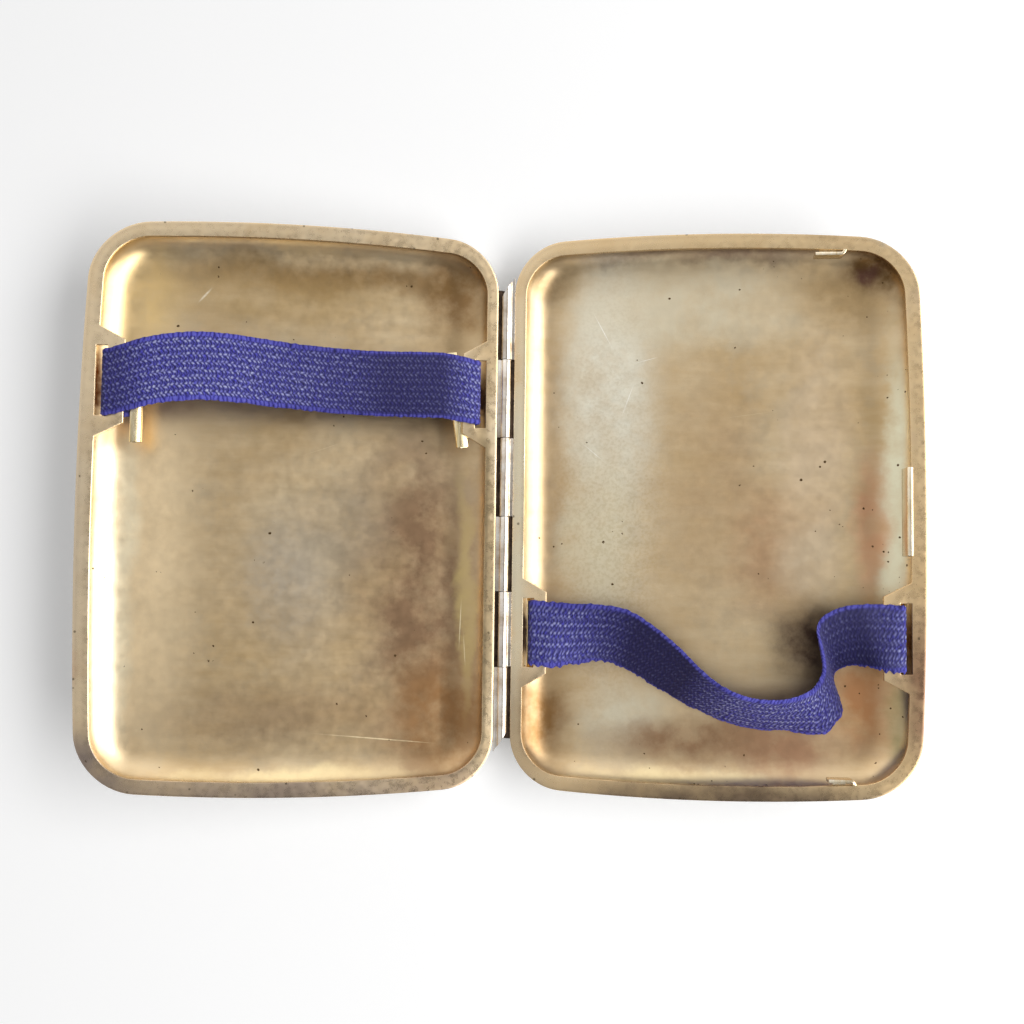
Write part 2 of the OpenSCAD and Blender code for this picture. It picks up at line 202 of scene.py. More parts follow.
def bowed(u, v):
    """A point of a half's plan, u from its hinge edge and v from mid length, after the bow."""
    end = 1 - end_bow / half_l * ((u - cover_w / 2) / (cover_w / 2)) ** 2
    side = 1 - side_bow / cover_w * (v / half_l) ** 2
    return Vector((axis_gap + u * side, v * end, 0))


def plan(lo, hi, cut, hinge_r, catch_r):
    """The rounded outline of a half from u = lo to u = hi, anticlockwise from the lower catch corner."""
    h = half_l - cut
    raw = []
    for u, v, r, start, (next_u, next_v), steps in (
            (hi - catch_r, -h + catch_r, catch_r, -90, (hi, h - catch_r), side_steps),
            (hi - catch_r, h - catch_r, catch_r, 0, (lo + hinge_r, h), end_steps),
            (lo + hinge_r, h - hinge_r, hinge_r, 90, (lo, -h + hinge_r), side_steps),
            (lo + hinge_r, -h + hinge_r, hinge_r, 180, (hi - catch_r, -h), end_steps)):
        for i in range(corner_steps + 1):
            a = math.radians(start + 90 * i / corner_steps)
            raw.append((u + r * math.cos(a), v + r * math.sin(a)))
        last_u, last_v = raw[-1]
        for i in range(1, steps):
            raw.append((last_u + (next_u - last_u) * i / steps, last_v + (next_v - last_v) * i / steps))
    return [bowed(u, v) for u, v in raw]


def cover_plan(inset):
    """The outline of a cover, drawn in by the inset all round."""
    return plan(inset, cover_w - inset, inset, hinge_corner_r - inset, catch_corner_r - inset)


def pick(piece):
    """Selects the piece alone."""
    bpy.ops.object.select_all(action="DESELECT")
    bpy.context.view_layer.objects.active = piece
    piece.select_set(True)


def new_loop(points):
    """A closed loop of edges through the points: a new object, or in edit mode more of the one edited."""
    if bpy.context.mode == "OBJECT":
        bpy.ops.object.select_all(action="DESELECT")
    bpy.ops.mesh.primitive_circle_add(vertices=len(points), radius=mm)
    made = bpy.context.object
    if made.mode == "OBJECT":
        bpy.ops.object.mode_set(mode="EDIT")
    loop = bmesh.from_edit_mesh(made.data)
    for vert, point in zip([v for v in loop.verts if v.select], points):
        vert.co = point
    bmesh.update_edit_mesh(made.data)
    return made


def key(point):
    """What a point is looked up by, seen from above."""
    return round(point[0] / mm, 4), round(point[1] / mm, 4)


def move_onto(piece, here, there, height=None):
    """Moves the selected points of the edited piece from one outline onto another, and to the height."""
    onto = {key(p): q for p, q in zip(here, there)}
    shape = bmesh.from_edit_mesh(piece.data)
    for vert in [v for v in shape.verts if v.select]:
        place = onto[key(vert.co)]
        vert.co = place.x, place.y, vert.co.z if height is None else height
    bmesh.update_edit_mesh(piece.data)


def face_out():
    """Turns all the faces of the edited piece outwards."""
    bpy.ops.mesh.select_all(action="SELECT")
    bpy.ops.mesh.normals_make_consistent(inside=False)


def apply_modifier(piece, kind, **settings):
    """Adds a modifier to the piece, with its settings, and applies it."""
    pick(piece)
    modifier = piece.modifiers.new(kind.lower(), kind)
    for name, value in settings.items():
        setattr(modifier, name, value)
    bpy.ops.object.modifier_apply(modifier=modifier.name)


def soften(piece, width, segments=2, angle=40):
    """Rounds the arrises where faces of the piece meet at more than the angle."""
    apply_modifier(piece, "BEVEL", width=width, segments=segments, limit_method="ANGLE",
                   angle_limit=math.radians(angle))


def fit(piece, name, side, place=Matrix.Identity(4), angle=30, copy=False):
    """Sets the piece, or a copy of it, in its place on its half, names it and shades it."""
    if copy:
        piece = piece.copy()
        piece.data = piece.data.copy()
        bpy.context.collection.objects.link(piece)
    piece.name = piece.data.name = name
    piece.data.transform(place)
    piece.data.transform(onto_half[side])
    if side == "left":
        piece.data.flip_normals()
    pick(piece)
    bpy.ops.object.shade_smooth_by_angle(angle=math.radians(angle))
    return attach(piece, bodies[side])


def streaked(tree, place, stretch, inputs):
    """Noise drawn out into streaks, by how much finer it is along each axis."""
    stretched = add(tree, "Mapping", {"Vector": place, "Scale": stretch})
    return add(tree, "TexNoise", {"Vector": stretched, **inputs})


def wandering(tree, place, *noises):
    """The place moved about by noises, each with how far it reaches."""
    for source, reach in noises:
        centred = add(tree, "VectorMath", {0: source.outputs["Color"], 1: (0.5, 0.5, 0.5)},
                      operation="SUBTRACT")
        place = add(tree, "VectorMath", {0: centred, 1: (reach, reach, 0), 2: place},
                    operation="MULTIPLY_ADD")
    return place


def with_stains_and_painted_light(tree, place, colour, stains_and_painted_light, grain, patches=(0.7, 1.15)):
    """The colour with stains and painted light laid over it: soft ellipses seen from above, patchy by the
    noise grain.
    """
    patchy = add(tree, "MapRange", {0: grain, 1: 0.38, 2: 0.56, 3: patches[0], 4: patches[1]})
    for (x, y), (reach_x, reach_y), turn, mark_colour, strong in stains_and_painted_light:
        spot = add(tree, "Mapping", {"Vector": place, "Location": (x * mm, y * mm, 0),
                                     "Rotation": (0, 0, math.radians(turn)),
                                     "Scale": (reach_x * mm, reach_y * mm, 1)}, vector_type="TEXTURE")
        soft = add(tree, "TexGradient", {"Vector": spot}, gradient_type="SPHERICAL")
        amount = add(tree, "MapRange", {0: soft.outputs["Fac"], 1: 0.0, 2: 0.8, 4: strong},
                     interpolation_type="SMOOTHSTEP")
        amount = add(tree, "Math", {0: amount, 1: patchy}, operation="MULTIPLY", use_clamp=True)
        colour = add(tree, "Mix", {0: amount, 6: colour, 7: mark_colour}, data_type="RGBA").outputs[2]
    return colour


silver, tree = material("polished_silver")
# Silver: nearly white, mirror-bright, with the hairlines of years of polishing cloths
point = add(tree, "TexCoord").outputs["Object"]
hair = streaked(tree, point, (1, 9, 9), {"Scale": 900.0, "Detail": 4.0})
cloud = add(tree, "TexNoise", {"Vector": point, "Scale": 70.0, "Detail": 5.0, "Roughness": 0.6})
tone = add(tree, "ValToRGB", {0: cloud}, stops=[(0.3, "#cac5bd"), (0.7, "#dbd8d3")])
gloss = add(tree, "MapRange", {0: hair, 3: 0.12, 4: 0.26})
bump = add(tree, "Bump", {"Height": hair, "Strength": 0.08, "Distance": 0.01 * mm})
metal = add(tree, "BsdfPrincipled", {"Base Color": tone, "Metallic": 1.0,
                                     "Roughness": gloss, "Normal": bump})
add(tree, "OutputMaterial", {"Surface": metal})

gilding, tree = material("worn_gilding_and_painted_light")
# Old mercury gilding on silver: pale yellow, burnished but softened, so reflections are blurred
point = add(tree, "TexCoord").outputs["Object"]
broad = add(tree, "TexNoise", {"Vector": point, "Scale": 60.0, "Detail": 5.0, "Roughness": 0.6})
small = add(tree, "TexNoise", {"Vector": point, "Scale": 420.0, "Detail": 6.0, "Roughness": 0.65})
wiped = streaked(tree, point, (0.35, 2.2, 1), {"Scale": 160.0, "Detail": 5.0, "Roughness": 0.6})
tone = add(tree, "ValToRGB", {0: broad}, stops=[(0.3, "#c4a87c"), (0.5, "#cdb48d"), (0.7, "#d3be9a")])
wipes = add(tree, "ValToRGB", {0: wiped}, stops=[(0.35, "#ae936a"), (0.65, "#dcc9a8")])
colour = add(tree, "Mix", {0: 0.2, 6: tone, 7: wipes}, data_type="RGBA").outputs[2]
mottle = add(tree, "TexNoise", {"Vector": point, "Scale": 130.0, "Detail": 7.0, "Roughness": 0.62})
grey = add(tree, "MapRange", {0: mottle, 1: 0.5, 2: 0.68, 3: 0.0, 4: 0.45})
colour = add(tree, "Mix", {0: grey, 6: colour, 7: "#b5a68c"}, data_type="RGBA").outputs[2]
warped = wandering(tree, point, (broad, 9 * mm), (mottle, 3 * mm), (small, 1.2 * mm))
# Stains, worn places, painted shade and painted highlights: middle and reach in mm on the open case,
# turn in degrees, colour, strength
stains_and_painted_light = [
    # Left tray: pale towards its outer wall, grey in the middle, browner at the top and by the hinge
    # The second here is a painted highlight down the outer wall
    ((-69, -6), (14, 62), 0, "#f3dab0", 0.9), ((-72.5, -14), (4, 44), 0, "#fff2d0", 0.7),
    ((-71, 40), (12, 19), 0, "#eccb8c", 0.75),
    ((-16, -14), (20, 48), 0, "#8a6e54", 0.85), ((-12, -40), (16, 19), 0, "#8e6842", 0.8),
    ((-10, 44), (10, 17), 0, "#85653f", 0.8), ((-34, 46), (42, 5), 0, "#87683f", 0.75),
    # The first here is a painted highlight along the top of the far wall
    ((-50, 53), (32, 3.5), 0, "#e9cb97", 0.9), ((-45, 42), (34, 9), 0, "#b59868", 0.6),
    ((-41, -14), (13, 21), 0, "#b9b0a2", 0.5), ((-30, -2), (11, 15), 0, "#a99c88", 0.4),
    ((-42, -40), (32, 9), 0, "#a38664", 0.55), ((-7.7, -16), (2.2, 30), 0, "#cdb67c", 0.6),
    # Right tray: worn to a greenish silver beside the hinge, then browner and redder towards the catch
    ((21, 26), (13, 38), 0, "#e6e0cc", 0.9), ((36, 42), (33, 13), 0, "#dbd0b5", 0.7),
    ((20, -4), (11, 24), 0, "#dacdac", 0.75), ((25, -39), (12, 10), 0, "#dacfb4", 0.85),
    ((9, 0), (4, 60), 0, "#b89870", 0.4), ((42, 4), (15, 30), 0, "#b69771", 0.5),
    ((54, -6), (13, 18), 0, "#b58c68", 0.55), ((61, 12), (9, 30), 0, "#d6bf9f", 0.65),
    ((60, -10), (8, 11), 0, "#d4c3a6", 0.55), ((66, 43), (15, 9), -30, "#a88c62", 0.7),
    ((72, 48), (10, 7), -30, "#6b5030", 0.95), ((70, 47), (3.5, 3), 0, "#5c3c3a", 0.7),
    # The first here is a painted highlight down the catch-side wall
    ((75, 5), (3.8, 38), 0, "#e0dabc", 0.9), ((76, -38), (3.5, 16), 0, "#a79a70", 0.85),
    # The second here is a painted shadow of the sagging elastic on the floor
    ((71, -1), (4.8, 18), 0, "#d29a74", 0.62), ((59.5, -24.5), (8.5, 11), 20, "#5a463a", 0.85),
    ((69, -36), (9, 16), 0, "#b27e54", 0.8), ((54, -45), (18, 7), 0, "#ab8062", 0.75),
    # The second here is a painted highlight along the foot of the near end wall
    ((38, -44), (24, 7), 0, "#9a7a5c", 0.85), ((34, -52), (36, 3), 0, "#e9d5a6", 0.7),
    # Both trays: a painted highlight along the foot of the left tray's near end wall, a darker band along
    # the right tray's far one, and painted shade in the corners and behind the four ears
    ((-44, -52), (36, 3), 0, "#f2dcaa", 0.7), ((40, 53), (38, 3.2), 0, "#7c6656", 0.75),
    ((8, -41), (9, 13), 0, "#8a6841", 0.9), ((9, 47), (7, 7), 45, "#8c7350", 0.7),
    ((80, 42), (5, 12), 20, "#8a6c42", 0.8), ((-79, 22.5), (3.5, 10), 0, "#5e3010", 1.6),
    ((-4, 22.5), (2.5, 9), 0, "#3a2c26", 1.0), ((78, -23), (3.5, 9), 0, "#5a3d28", 1.0),
    ((4, -23), (2.5, 9), 0, "#3a2c26", 1.0),
]
colour = with_stains_and_painted_light(tree, warped, colour, stains_and_painted_light, mottle)
# Scratches down to the brighter metal: middle, half length and half width, turn, colour, strength
scratches = [
    ((-25, -44.3), (13.5, 0.16), -5, "#f2dfb6", 1.0), ((-8.3, -22), (6, 0.14), 88, "#f0e0b8", 0.9),
    ((-7.4, -27), (4, 0.12), 94, "#f0e0b8", 0.8), ((-58.8, 41.5), (2.4, 0.3), 50, "#f6ead0", 0.7),
    ((-36, 12), (5, 0.1), 20, "#e6d2aa", 0.6), ((19.5, 37), (5, 0.12), -62, "#fbf6ea", 0.9),
    ((24.5, 23), (4.2, 0.12), 70, "#fbf6ea", 0.9), ((17.5, 12.7), (3.4, 0.12), -40, "#fbf6ea", 0.9),
    ((28, 31), (3, 0.1), 15, "#fbf6ea", 0.8), ((48, 20), (6, 0.09), 8, "#dcc8a0", 0.6),
]
colour = with_stains_and_painted_light(tree, point, colour, scratches, small)
# The palest place is etched all over, in pale and dark marks about half a millimetre across
ragged = wandering(tree, point, (small, 1 * mm))
etched = add(tree, "TexNoise", {"Vector": ragged, "Scale": 1500.0, "Detail": 3.0, "Roughness": 0.6})
for tint, strong, patches in (("#fffbee", 0.12, (0.0, 1.0)), ("#8f8262", 0.08, (1.0, 0.0))):
    colour = with_stains_and_painted_light(tree, point, colour, [((21, 6), (15, 64), 0, tint, strong)], etched, patches)
# Dark specks of tarnish, a quarter to half a millimetre across, in clusters and thickest near the catch
cells = add(tree, "TexVoronoi", {"Vector": ragged, "Scale": 1100.0})
chance = add(tree, "SeparateColor", {0: cells.outputs["Color"]})
speck_r = add(tree, "MapRange", {0: chance.outputs["Green"], 3: 0.07, 4: 0.3})
dots = add(tree, "Math", {0: cells.outputs["Distance"], 1: speck_r}, operation="LESS_THAN")
across_tray = add(tree, "SeparateXYZ", {0: point}).outputs["X"]
near_catch = add(tree, "MapRange", {0: across_tray, 1: 56 * mm, 2: 78 * mm, 3: 1.02, 4: 0.86})
cluster = add(tree, "MapRange", {0: mottle, 1: 0.46, 2: 0.62, 3: 0.08, 4: -0.12})
common = add(tree, "Math", {0: near_catch, 1: cluster}, operation="ADD")
near_hinge = add(tree, "Math", {0: across_tray, 1: 13 * mm, 2: 4 * mm}, operation="COMPARE")
common = add(tree, "Math", {0: near_hinge, 1: -0.05, 2: common}, operation="MULTIPLY_ADD")
rare = add(tree, "Math", {0: chance.outputs["Red"], 1: common}, operation="GREATER_THAN")
speck = add(tree, "Math", {0: dots, 1: rare}, operation="MULTIPLY")
colour = add(tree, "Mix", {0: speck, 6: colour, 7: "#57432b"}, data_type="RGBA").outputs[2]
gloss = add(tree, "MapRange", {0: small, 1: 0.3, 2: 0.7, 3: 0.29, 4: 0.39})
relief = add(tree, "Math", {0: small, 1: wiped}, operation="ADD")
bump = add(tree, "Bump", {"Height": relief, "Strength": 0.25, "Distance": 0.02 * mm})
metal = add(tree, "BsdfPrincipled", {"Base Color": colour, "Metallic": 1.0, "Roughness": gloss,
                                     "Normal": bump})
add(tree, "OutputMaterial", {"Surface": metal})

# The wall is raised from the outline ring by ring, and the back closed in towards its middle
outline = cover_plan(0)
cover = new_loop([p + Vector((0, 0, under_lip - seat_gap)) for p in outline])
for finish in (silver, gilding):
    cover.data.materials.append(finish)
ring = outline
for i in range(wall_rings + 1):
    a = math.pi / 2 * i / wall_rings
    inset = edge_w * (1 - max(0, math.cos(a)) ** (2 / edge_full))
    depth = outer_upright + (cover_d - outer_upright) * math.sin(a) ** (2 / edge_full)
    level = cover_plan(inset)
    bpy.ops.mesh.extrude_edges_move()
    move_onto(cover, ring, level, -depth)
    ring = level
centre = (axis_gap + cover_w / 2, 0, -cover_d)
for share in back_rings:
    bpy.ops.mesh.extrude_edges_move()
    bpy.ops.transform.resize(value=(share, share, 1), center_override=centre)
bpy.ops.mesh.merge(type="CENTER")
face_out()
bpy.ops.object.mode_set(mode="OBJECT")
apply_modifier(cover, "SOLIDIFY", thickness=sheet_t, offset=-1, use_even_offset=True, material_offset=1,
               material_offset_rim=0)
soften(cover, cover_arris, angle=50)

# Old drawn silver isn't true: the lining has shallow waves that bend what it mirrors. The fine ones
# lie over the broad ones, and both are sunk so that few stand above the floor.
wave_length = 17 * mm
wave_height = 0.05 * mm
fine_waves = 2.7
fine_share = 0.4
sunk_share = 0.6
for vert in cover.data.vertices:
    if abs(vert.co.z + cover_d - sheet_t) < seat_gap:
        p = vert.co / wave_length
        vert.co.z += wave_height * (noise.noise(p) + fine_share * noise.noise(p * fine_waves) - sunk_share)

for side in ("left", "right"):
    piece = fit(cover, side + "_cover", side, angle=35, copy=side == "left")
    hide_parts(side + "_shell")


# Rims: a flat gilt plate let into the mouth of each tray, a little under 3 mm wide, with two ears
# that stand in over the tray. Each ear is pierced by a slot for the elastic. Sawn from sheet and
# soldered in, with the arrises just taken off.
rim_w = 2.85 * mm
rim_hinge_w = 2.25 * mm
rim_t = 0.9 * mm
rim_arris = 0.13 * mm
ear_catch = 5.2 * mm
ear_hinge = 4.5 * mm
ear_flat = 15.6 * mm
ear_base = 22 * mm
root_lap = 1 * mm
slot_w = 2.1 * mm
slot_l = 13.2 * mm
strap_y = {"left": 22.8 * mm, "right": -23.2 * mm}
worn_strip = 0.9 * mm
edge_reach = 1.5 * mm
rim_inset = sheet_t + 4 * seat_gap
under_rim = -rim_gap - rim_t


def opening(middle):
    """The mouth of a rim, with the two ears round v = middle standing into it."""
    points = plan(rim_hinge_w, cover_w - rim_w, rim_w, hinge_corner_r - rim_hinge_w, catch_corner_r - rim_w)
    half = len(points) // 2
    made = []
    for side, stretch, edge, ear in ((1, points[:half], cover_w - rim_w, ear_catch),
                                     (-1, points[half:], rim_hinge_w, ear_hinge)):
        root = edge + side * root_lap
        reach = edge - side * ear
        behind = [p for p in stretch if abs(p.y - middle) < ear_base / 2]
        # How far along its slanted sides the ear has come where they cross the bowed edge
        come = [abs(root - behind[i].x + axis_gap) / abs(root - reach) for i in (0, -1)]
        first, last = [ear_base / 2 + (ear_flat - ear_base) / 2 * c for c in come]
        corners = ((behind[0].x, -first), (axis_gap + reach, -ear_flat / 2),
                   (axis_gap + reach, ear_flat / 2), (behind[-1].x, last))
        made += [p for p in stretch if side * (p.y - middle) <= -first]
        made += [Vector((x, middle + side * v, 0)) for x, v in corners]
        made += [p for p in stretch if side * (p.y - middle) >= last]
    return made


def closest_on_span(p, a, b):
    """The point nearest to p on the straight line from a to b."""
    share = (p - a).dot(b - a) / (b - a).length_squared
    return a.lerp(b, min(1, max(0, share)))


def mark_edge(piece):
    """Writes how near each point is to a half's outline, seen from above: 1 there, 0 a strip away."""
    line = [Vector(p[:2]) for p in outline]
    near = []
    for vert in piece.data.vertices:
        p = Vector(vert.co[:2])
        apart = edge_reach
        if vert.co.z > under_rim:
            apart = min((p - closest_on_span(p, a, b)).length for a, b in zip(line, line[1:] + line[:1]))
        near.append(max(0, 1 - apart / edge_reach))
    piece.data.attributes.new("edge", "FLOAT", "POINT").data.foreach_set("value", near)


rim_gilt, tree = material("handled_gilding_and_painted_shade")
# The same gilding where fingers and the other rim rub it: warmer, with reddish and grey tarnish that
# starts from the outer edge, which the attribute named edge gives as 1. A painted shade lies along the
# left rim's hinge edge, where the knuckles shade it.
point = add(tree, "TexCoord").outputs["Object"]
broad = add(tree, "TexNoise", {"Vector": point, "Scale": 90.0, "Detail": 5.0, "Roughness": 0.6})
small = add(tree, "TexNoise", {"Vector": point, "Scale": 700.0, "Detail": 5.0, "Roughness": 0.6})
tone = add(tree, "ValToRGB", {0: broad},
           stops=[(0.3, "#cfb183"), (0.45, "#d8bb8f"), (0.6, "#dcc196"), (0.75, "#d2b894")])
warped = wandering(tree, point, (broad, 8 * mm), (small, 0.4 * mm))
rim_stains_and_shade = [
    ((-42, 0), (90, 110), 0, "#e8d6b8", 0.65),
    ((-81, -8), (6, 56), 0, "#c9bba6", 0.6), ((-81, -36), (4, 20), 0, "#a8745c", 0.85),
    ((-75, -50), (13, 10), -40, "#94857a", 0.9),
    ((-45, -55), (48, 8), 0, "#ab9888", 0.8), ((-12, -50), (12, 9), 30, "#9a8270", 0.6),
    ((-71, 55.5), (6, 3.5), 10, "#b3b2a6", 0.7), ((-5, 10), (4, 46), 0, "#c7a877", 0.4),
    # Painted shade along the left rim's hinge edge, beside the knuckles
    ((-3.5, -12), (2.5, 50), 0, "#8f7c5c", 0.75),
    ((42, -55), (48, 8), 0, "#7e6b56", 0.92), ((81, -34), (9, 28), 0, "#8e6c54", 0.85),
    ((83, 2), (4.5, 14), 0, "#6b525a", 0.8), ((71, 54), (6, 3.5), -15, "#b8b6ac", 0.75),
    ((60, 56), (8, 3.5), 0, "#8b6f4c", 0.5), ((5, -40), (8, 16), 0, "#a08868", 0.6),
    ((3, 0), (3, 54), 0, "#dcd4ba", 0.6),
]
colour = with_stains_and_painted_light(tree, warped, tone, rim_stains_and_shade, broad)
edge = add(tree, "Attribute", attribute_name="edge")
handled = add(tree, "MapRange", {0: edge.outputs["Fac"], 1: 0.3, 2: 1.0, 3: 0.0, 4: 0.24})
patchy = add(tree, "MapRange", {0: broad, 1: 0.42, 2: 0.62, 3: 0.25, 4: 1.0})
amount = add(tree, "Math", {0: handled, 1: patchy}, operation="MULTIPLY")
colour = add(tree, "Mix", {0: amount, 6: colour, 7: "#85766c"}, data_type="RGBA").outputs[2]
# Pits, a third of a millimetre across, close together along the outer edge and rare elsewhere
cells = add(tree, "TexVoronoi", {"Vector": point, "Scale": 1100.0})
dots = add(tree, "MapRange", {0: cells.outputs["Distance"], 1: 0.2, 2: 0.34, 3: 1.0, 4: 0.0})
common = add(tree, "MapRange", {0: edge.outputs["Fac"], 1: 0.35, 2: 0.9, 3: 0.992, 4: 0.93})
rare = add(tree, "Math", {0: add(tree, "SeparateColor", {0: cells.outputs["Color"]}).outputs["Red"],
                          1: common}, operation="GREATER_THAN")
speck = add(tree, "Math", {0: dots, 1: rare}, operation="MULTIPLY")
speck = add(tree, "Math", {0: speck, 1: 0.7}, operation="MULTIPLY")
colour = add(tree, "Mix", {0: speck, 6: colour, 7: "#4f4530"}, data_type="RGBA").outputs[2]
gloss = add(tree, "MapRange", {0: small, 1: 0.3, 2: 0.7, 3: 0.22, 4: 0.36})
bump = add(tree, "Bump", {"Height": small, "Strength": 0.12, "Distance": 0.015 * mm})
metal = add(tree, "BsdfPrincipled", {"Base Color": colour, "Metallic": 1.0, "Roughness": gloss,
                                     "Normal": bump})
add(tree, "OutputMaterial", {"Surface": metal})

strip_edge = cover_plan(rim_inset + worn_strip)
rim_edge = cover_plan(rim_inset)
lip_edge = cover_plan(seat_gap)
for side in ("left", "right"):
    rim = new_loop(strip_edge)
    new_loop(opening(strap_y[side]))
    for u in (rim_hinge_w, cover_w - rim_w - slot_w):
        corner = Vector((axis_gap + u, strap_y[side] - slot_l / 2, 0))
        new_loop([corner, corner + Vector((slot_w, 0, 0)), corner + Vector((slot_w, slot_l, 0)),
                  corner + Vector((0, slot_l, 0))])
    bpy.ops.mesh.select_all(action="SELECT")
    bpy.ops.mesh.fill(use_beauty=True)
    bpy.ops.mesh.select_all(action="DESELECT")
    outer = {key(p) for p in strip_edge}
    for edge in bmesh.from_edit_mesh(rim.data).edges:
        edge.select_set(edge.is_boundary and all(key(v.co) in outer for v in edge.verts))
    bpy.ops.mesh.extrude_edges_move()
    move_onto(rim, strip_edge, rim_edge)
    face_out()
    bpy.ops.transform.translate(value=(0, 0, -rim_gap))
    bpy.ops.mesh.extrude_region_move(TRANSFORM_OT_translate={"value": (0, 0, -rim_t)})
    face_out()
    # The plate's upper third laps over the sheet's edge, out to the outline
    bpy.ops.mesh.bisect(plane_co=(0, 0, under_lip), plane_no=(0, 0, 1))
    bpy.ops.mesh.select_mode(type="FACE")
    bpy.ops.mesh.select_all(action="DESELECT")
    outer = {key(p) for p in rim_edge}
    for face in bmesh.from_edit_mesh(rim.data).faces:
        face.select_set(all(key(v.co) in outer and v.co.z > under_lip - seat_gap for v in face.verts))
    bpy.ops.mesh.extrude_region_move()
    move_onto(rim, rim_edge, lip_edge)
    bpy.ops.mesh.select_mode(type="VERT")
    bpy.ops.object.mode_set(mode="OBJECT")
    soften(rim, rim_arris, segments=3)
    mark_edge(rim)
    rim.data.materials.append(rim_gilt)
    piece = fit(rim, side + "_rim", side)
    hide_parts(side + "_frame")


# Bearers: one coved silver strip along each hinge edge. The knuckles lie in the cove, and the lower
# lips of the two strips meet under the pin when the case is open, which is what stops the hinge.
knuckle_r = 1.0 * mm
knuckle_hole_r = 0.5 * mm
cove_r = knuckle_r + 0.08 * mm
cove_short = 1
bearer_half_l = 43.5 * mm
bearer_top = -0.7 * mm
bearer_out_r = 2.35 * mm
bearer_foot = -1.75 * mm
bearer_swing = 48
bearer_arris = 0.05 * mm
stop_gap = 0.015 * mm
tarnish_up = 0.1 * mm
tarnish_down = 0.04 * mm
cove_steps = 16
outer_steps = 8


def on_arc(r, degrees):
    """A point at that angle on a circle round the hinge axis, seen from its end."""
    return Vector((r * math.cos(math.radians(degrees)), 0, r * math.sin(math.radians(degrees))))


def prism(loops, start, along, arris, segments=2):
    """A bar with that section, one loop round it and others round its holes, swept along from the start."""
    for loop in loops:
        made = new_loop([p + Vector(start) for p in loop])
    bpy.ops.mesh.select_all(action="SELECT")
    bpy.ops.mesh.fill(use_beauty=True)
    bpy.ops.mesh.select_all(action="SELECT")
    bpy.ops.mesh.extrude_region_move(TRANSFORM_OT_translate={"value": along})
    face_out()
    bpy.ops.mesh.dissolve_limited(angle_limit=math.radians(1))
    bpy.ops.object.mode_set(mode="OBJECT")
    soften(made, arris, segments)
    return made


hinge_silver, tree = material("worn_hinge_silver")
# Silver tube rubbed bright on top, with a brown bloom left in the joints where no cloth reaches
point = add(tree, "TexCoord").outputs["Object"]
cloud = add(tree, "TexNoise", {"Vector": point, "Scale": 260.0, "Detail": 5.0, "Roughness": 0.6})
lines = streaked(tree, point, (9, 0.6, 9), {"Scale": 500.0, "Detail": 3.0})
tone = add(tree, "ValToRGB", {0: cloud}, stops=[(0.3, "#b09f8a"), (0.5, "#d3c8bb"), (0.7, "#e0dbd4")])
form = add(tree, "NewGeometry")
sunk = add(tree, "MapRange", {0: form.outputs["Pointiness"], 1: 0.42, 2: 0.5, 3: 0.8, 4: 0.0})
colour = add(tree, "Mix", {0: sunk, 6: tone, 7: "#5a4636"}, data_type="RGBA").outputs[2]
gloss = add(tree, "MapRange", {0: lines, 3: 0.12, 4: 0.3})
bump = add(tree, "Bump", {"Height": lines, "Strength": 0.2, "Distance": 0.01 * mm})
metal = add(tree, "BsdfPrincipled", {"Base Color": colour, "Metallic": 1.0, "Roughness": gloss,
                                     "Normal": bump})
add(tree, "OutputMaterial", {"Surface": metal})

tarnish, tree = material("tarnished_silver")
# The cove behind the knuckles, which no cloth gets into: sulphide, brown to nearly black
point = add(tree, "TexCoord").outputs["Object"]
crust = add(tree, "TexNoise", {"Vector": point, "Scale": 600.0, "Detail": 5.0, "Roughness": 0.65})
tone = add(tree, "ValToRGB", {0: crust}, stops=[(0.35, "#2c221b"), (0.65, "#57463a")])
metal = add(tree, "BsdfPrincipled", {"Base Color": tone, "Metallic": 0.8, "Roughness": 0.45})
add(tree, "OutputMaterial", {"Surface": metal})

wall_x = axis_gap - seat_gap
stop = -90 - math.degrees(open_tilt)
lip = Vector((math.cos(open_tilt), 0, -math.sin(open_tilt))) * stop_gap
cove_start = math.degrees(math.asin(bearer_top / cove_r))
cove_swing = stop + cove_short - cove_start
section = [Vector((wall_x, 0, bearer_top))]
section += [on_arc(cove_r, cove_start + cove_swing * i / cove_steps) for i in range(cove_steps)]
section += [on_arc(cove_r, stop) + lip, on_arc(bearer_out_r, stop) + lip]
section += [on_arc(bearer_out_r, stop + bearer_swing * i / outer_steps) for i in range(1, outer_steps + 1)]
section += [Vector((wall_x, 0, bearer_foot))]
bearer = prism([section], (0, -bearer_half_l, 0), (0, 2 * bearer_half_l, 0), bearer_arris)
for finish in (hinge_silver, tarnish):
    bearer.data.materials.append(finish)
for face in bearer.data.polygons:
    in_cove = math.hypot(face.center.x, face.center.z) < cove_r + tarnish_up
    face.material_index = int(in_cove or face.center.z > bearer_top - tarnish_down)
for side in ("left", "right"):
    piece = fit(bearer, side + "_hinge_bearer", side, copy=side == "left")
    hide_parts(side + "_bearer")


